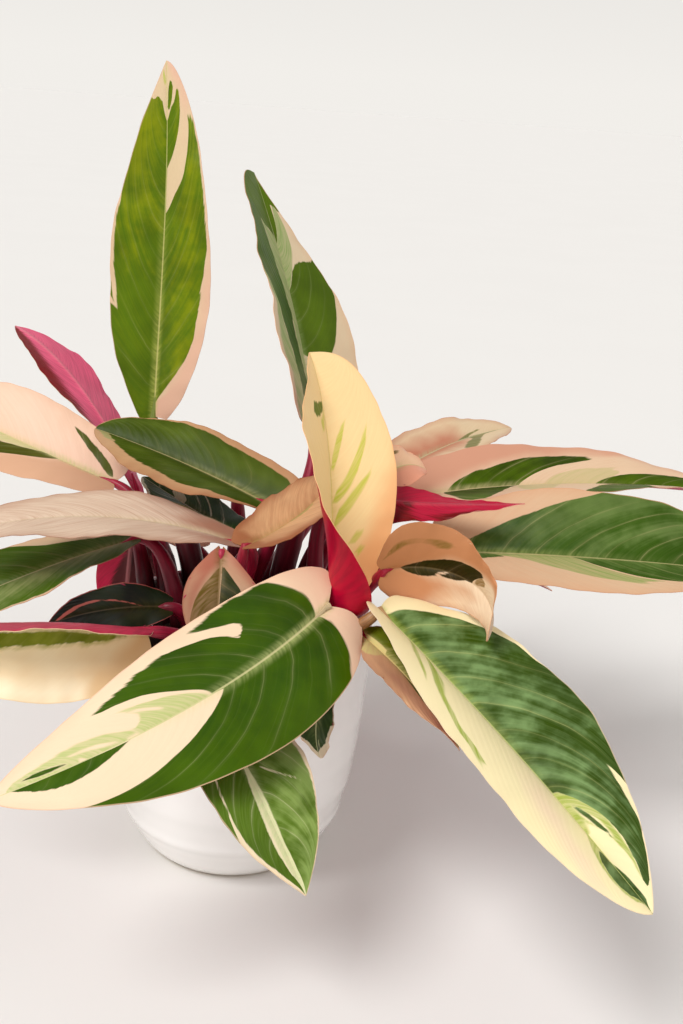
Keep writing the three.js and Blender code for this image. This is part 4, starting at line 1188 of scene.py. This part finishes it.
BACK_GREEN = [
    sector("green", "L", (0, 4, 36), (50, 5, 40), (90, 8, 40), (100, 10, 38)),
    sector("lime", "L", (5, 36, 35), (20, 36, 42), (70, 38, 44), (90, 42, 40)),
    sector("green", "L", (0, 50, 86), (40, 52, 86), (75, 56, 80), (90, 70, 68)),
    sector("green", "R", (0, 5, 62), (40, 6, 60), (80, 8, 56), (95, 30, 28)),
    sector("cream", "R", (30, 26, 25), (45, 22, 27), (80, 23, 30), (100, 24, 32)),
    sector("lime", "R", (5, 66, 65), (15, 63, 72), (50, 64, 70), (70, 68, 66)),
    band("bright", "B", (10, 40, 90), (60, 30, 90), (85, 10, 40)),
]
BACK_BLUSH = [
    sector("green", "L", (0, 10, 26), (40, 12, 28), (70, 16, 24), (80, 21, 20)),
    sector("lime", "L", (5, 44, 43), (15, 42, 50), (60, 44, 50), (80, 47, 46)),
    sector("green", "R", (0, 34, 70), (30, 36, 70), (70, 42, 64), (90, 52, 50)),
    sector("lime", "R", (10, 18, 17), (20, 16, 22), (70, 18, 22), (90, 20, 19)),
    band("pink", "B", (0, 0, 100), (20, 30, 100), (40, 80, 100), (50, 110, 100)),
]
make_leaf(
    "leaf_back_middle", "leaf_green", root=(-8, 54), start=(-12, 70, 186),
    bearing=104, rise=10, droop=44, length=160, width=56, sheath=2.4, marks=BACK_GREEN,
)
make_leaf(
    "leaf_back_right", "leaf_blush", root=(12, 58), start=(34, 82, 172),
    bearing=72, rise=12, droop=50, length=150, width=54, sheath=2.4, marks=BACK_BLUSH,
)
make_leaf(
    "leaf_back_left", "leaf_green", root=(-22, 56), start=(-38, 74, 150),
    bearing=128, rise=4, droop=34, length=130, width=48, sheath=2.4, marks=BACK_GREEN[::-1],
)
make_leaf(
    "leaf_back_low_right", "leaf_green", root=(56, 28), start=(84, 40, 160),
    bearing=24, rise=2, droop=30, length=120, width=48, marks=BACK_GREEN,
)

# ---------------------------------------------------------------------------
# The table and the light. A plain pale floor that runs to the horizon, a pale
# sky that is lighter low down, a broad soft key light from the upper left front
# and a weak fill from the right.

FLOOR_HALF = 40.0
LOW_SKY, HIGH_SKY = (0.885, 0.86, 0.82, 1), (0.4, 0.4, 0.4, 1)
CAMERA_PLACE = Vector((0.0525, -0.621, 0.4195))
CAMERA_DOWN = math.radians(19.0)
CAMERA_ROLL = math.radians(4.2)
CAMERA_LENS = 42.19

floor_finish = Finish("pale_floor", Roughness=0.7, Specular_IOR_Level=0.2)
floor_tint = floor_finish.noise(floor_finish.place(), 3.0, 2.0)
floor_finish.set(Base_Color=floor_finish.blend(floor_tint, "#E6E3DF", "#E9E6E2"))
floor_corners = np.array([[-1, -1, 0], [1, -1, 0], [1, 1, 0], [-1, 1, 0]]) * FLOOR_HALF / MM
floor = piece_of("floor", floor_corners, [[0, 1, 2, 3]], [floor_finish])

world = bpy.data.worlds.new("soft_studio")
world.use_nodes = True
bpy.context.scene.world = world
sky = world.node_tree.nodes
toward = sky.new("ShaderNodeTexCoord")
height = sky.new("ShaderNodeSeparateXYZ")
fade = sky.new("ShaderNodeValToRGB")
fade.color_ramp.elements[0].position = 0.02
fade.color_ramp.elements[0].color = LOW_SKY
fade.color_ramp.elements[1].position = 0.75
fade.color_ramp.elements[1].color = HIGH_SKY
world.node_tree.links.new(toward.outputs["Generated"], height.inputs[0])
world.node_tree.links.new(height.outputs[2], fade.inputs[0])
world.node_tree.links.new(fade.outputs[0], sky["Background"].inputs["Color"])
sky["Background"].inputs["Strength"].default_value = 1.0


def soft_sun(name, toward_light, strength, spread):
    """A broad distant lamp whose light comes from that direction."""
    lamp = bpy.data.lights.new(name, "SUN")
    lamp.energy, lamp.angle = strength, math.radians(spread)
    holder = bpy.data.objects.new(name, lamp)
    holder.rotation_euler = Vector(toward_light).to_track_quat("Z", "Y").to_euler()
    bpy.context.scene.collection.objects.link(holder)


soft_sun("key_light", (-0.75, -0.75, 1.35), 2.2, 28)
soft_sun("fill_light", (0.9, -0.6, 0.8), 0.45, 60)

ahead = Vector((0, math.cos(CAMERA_DOWN), -math.sin(CAMERA_DOWN)))
right, up = Vector((1, 0, 0)), Vector((0, math.sin(CAMERA_DOWN), math.cos(CAMERA_DOWN)))
rolled_right = right * math.cos(CAMERA_ROLL) + up * math.sin(CAMERA_ROLL)
rolled_up = up * math.cos(CAMERA_ROLL) - right * math.sin(CAMERA_ROLL)
lens = bpy.data.cameras.new("camera")
lens.sensor_fit, lens.sensor_height, lens.lens = "VERTICAL", 36.0, CAMERA_LENS
lens.clip_start, lens.clip_end = 0.01, 200
camera = bpy.data.objects.new("camera", lens)
camera.matrix_world = Matrix.Translation(CAMERA_PLACE) @ Matrix(
    (rolled_right, rolled_up, -ahead)
).transposed().to_4x4()
bpy.context.scene.collection.objects.link(camera)
bpy.context.scene.camera = camera
bpy.context.scene.view_settings.view_transform = "Standard"
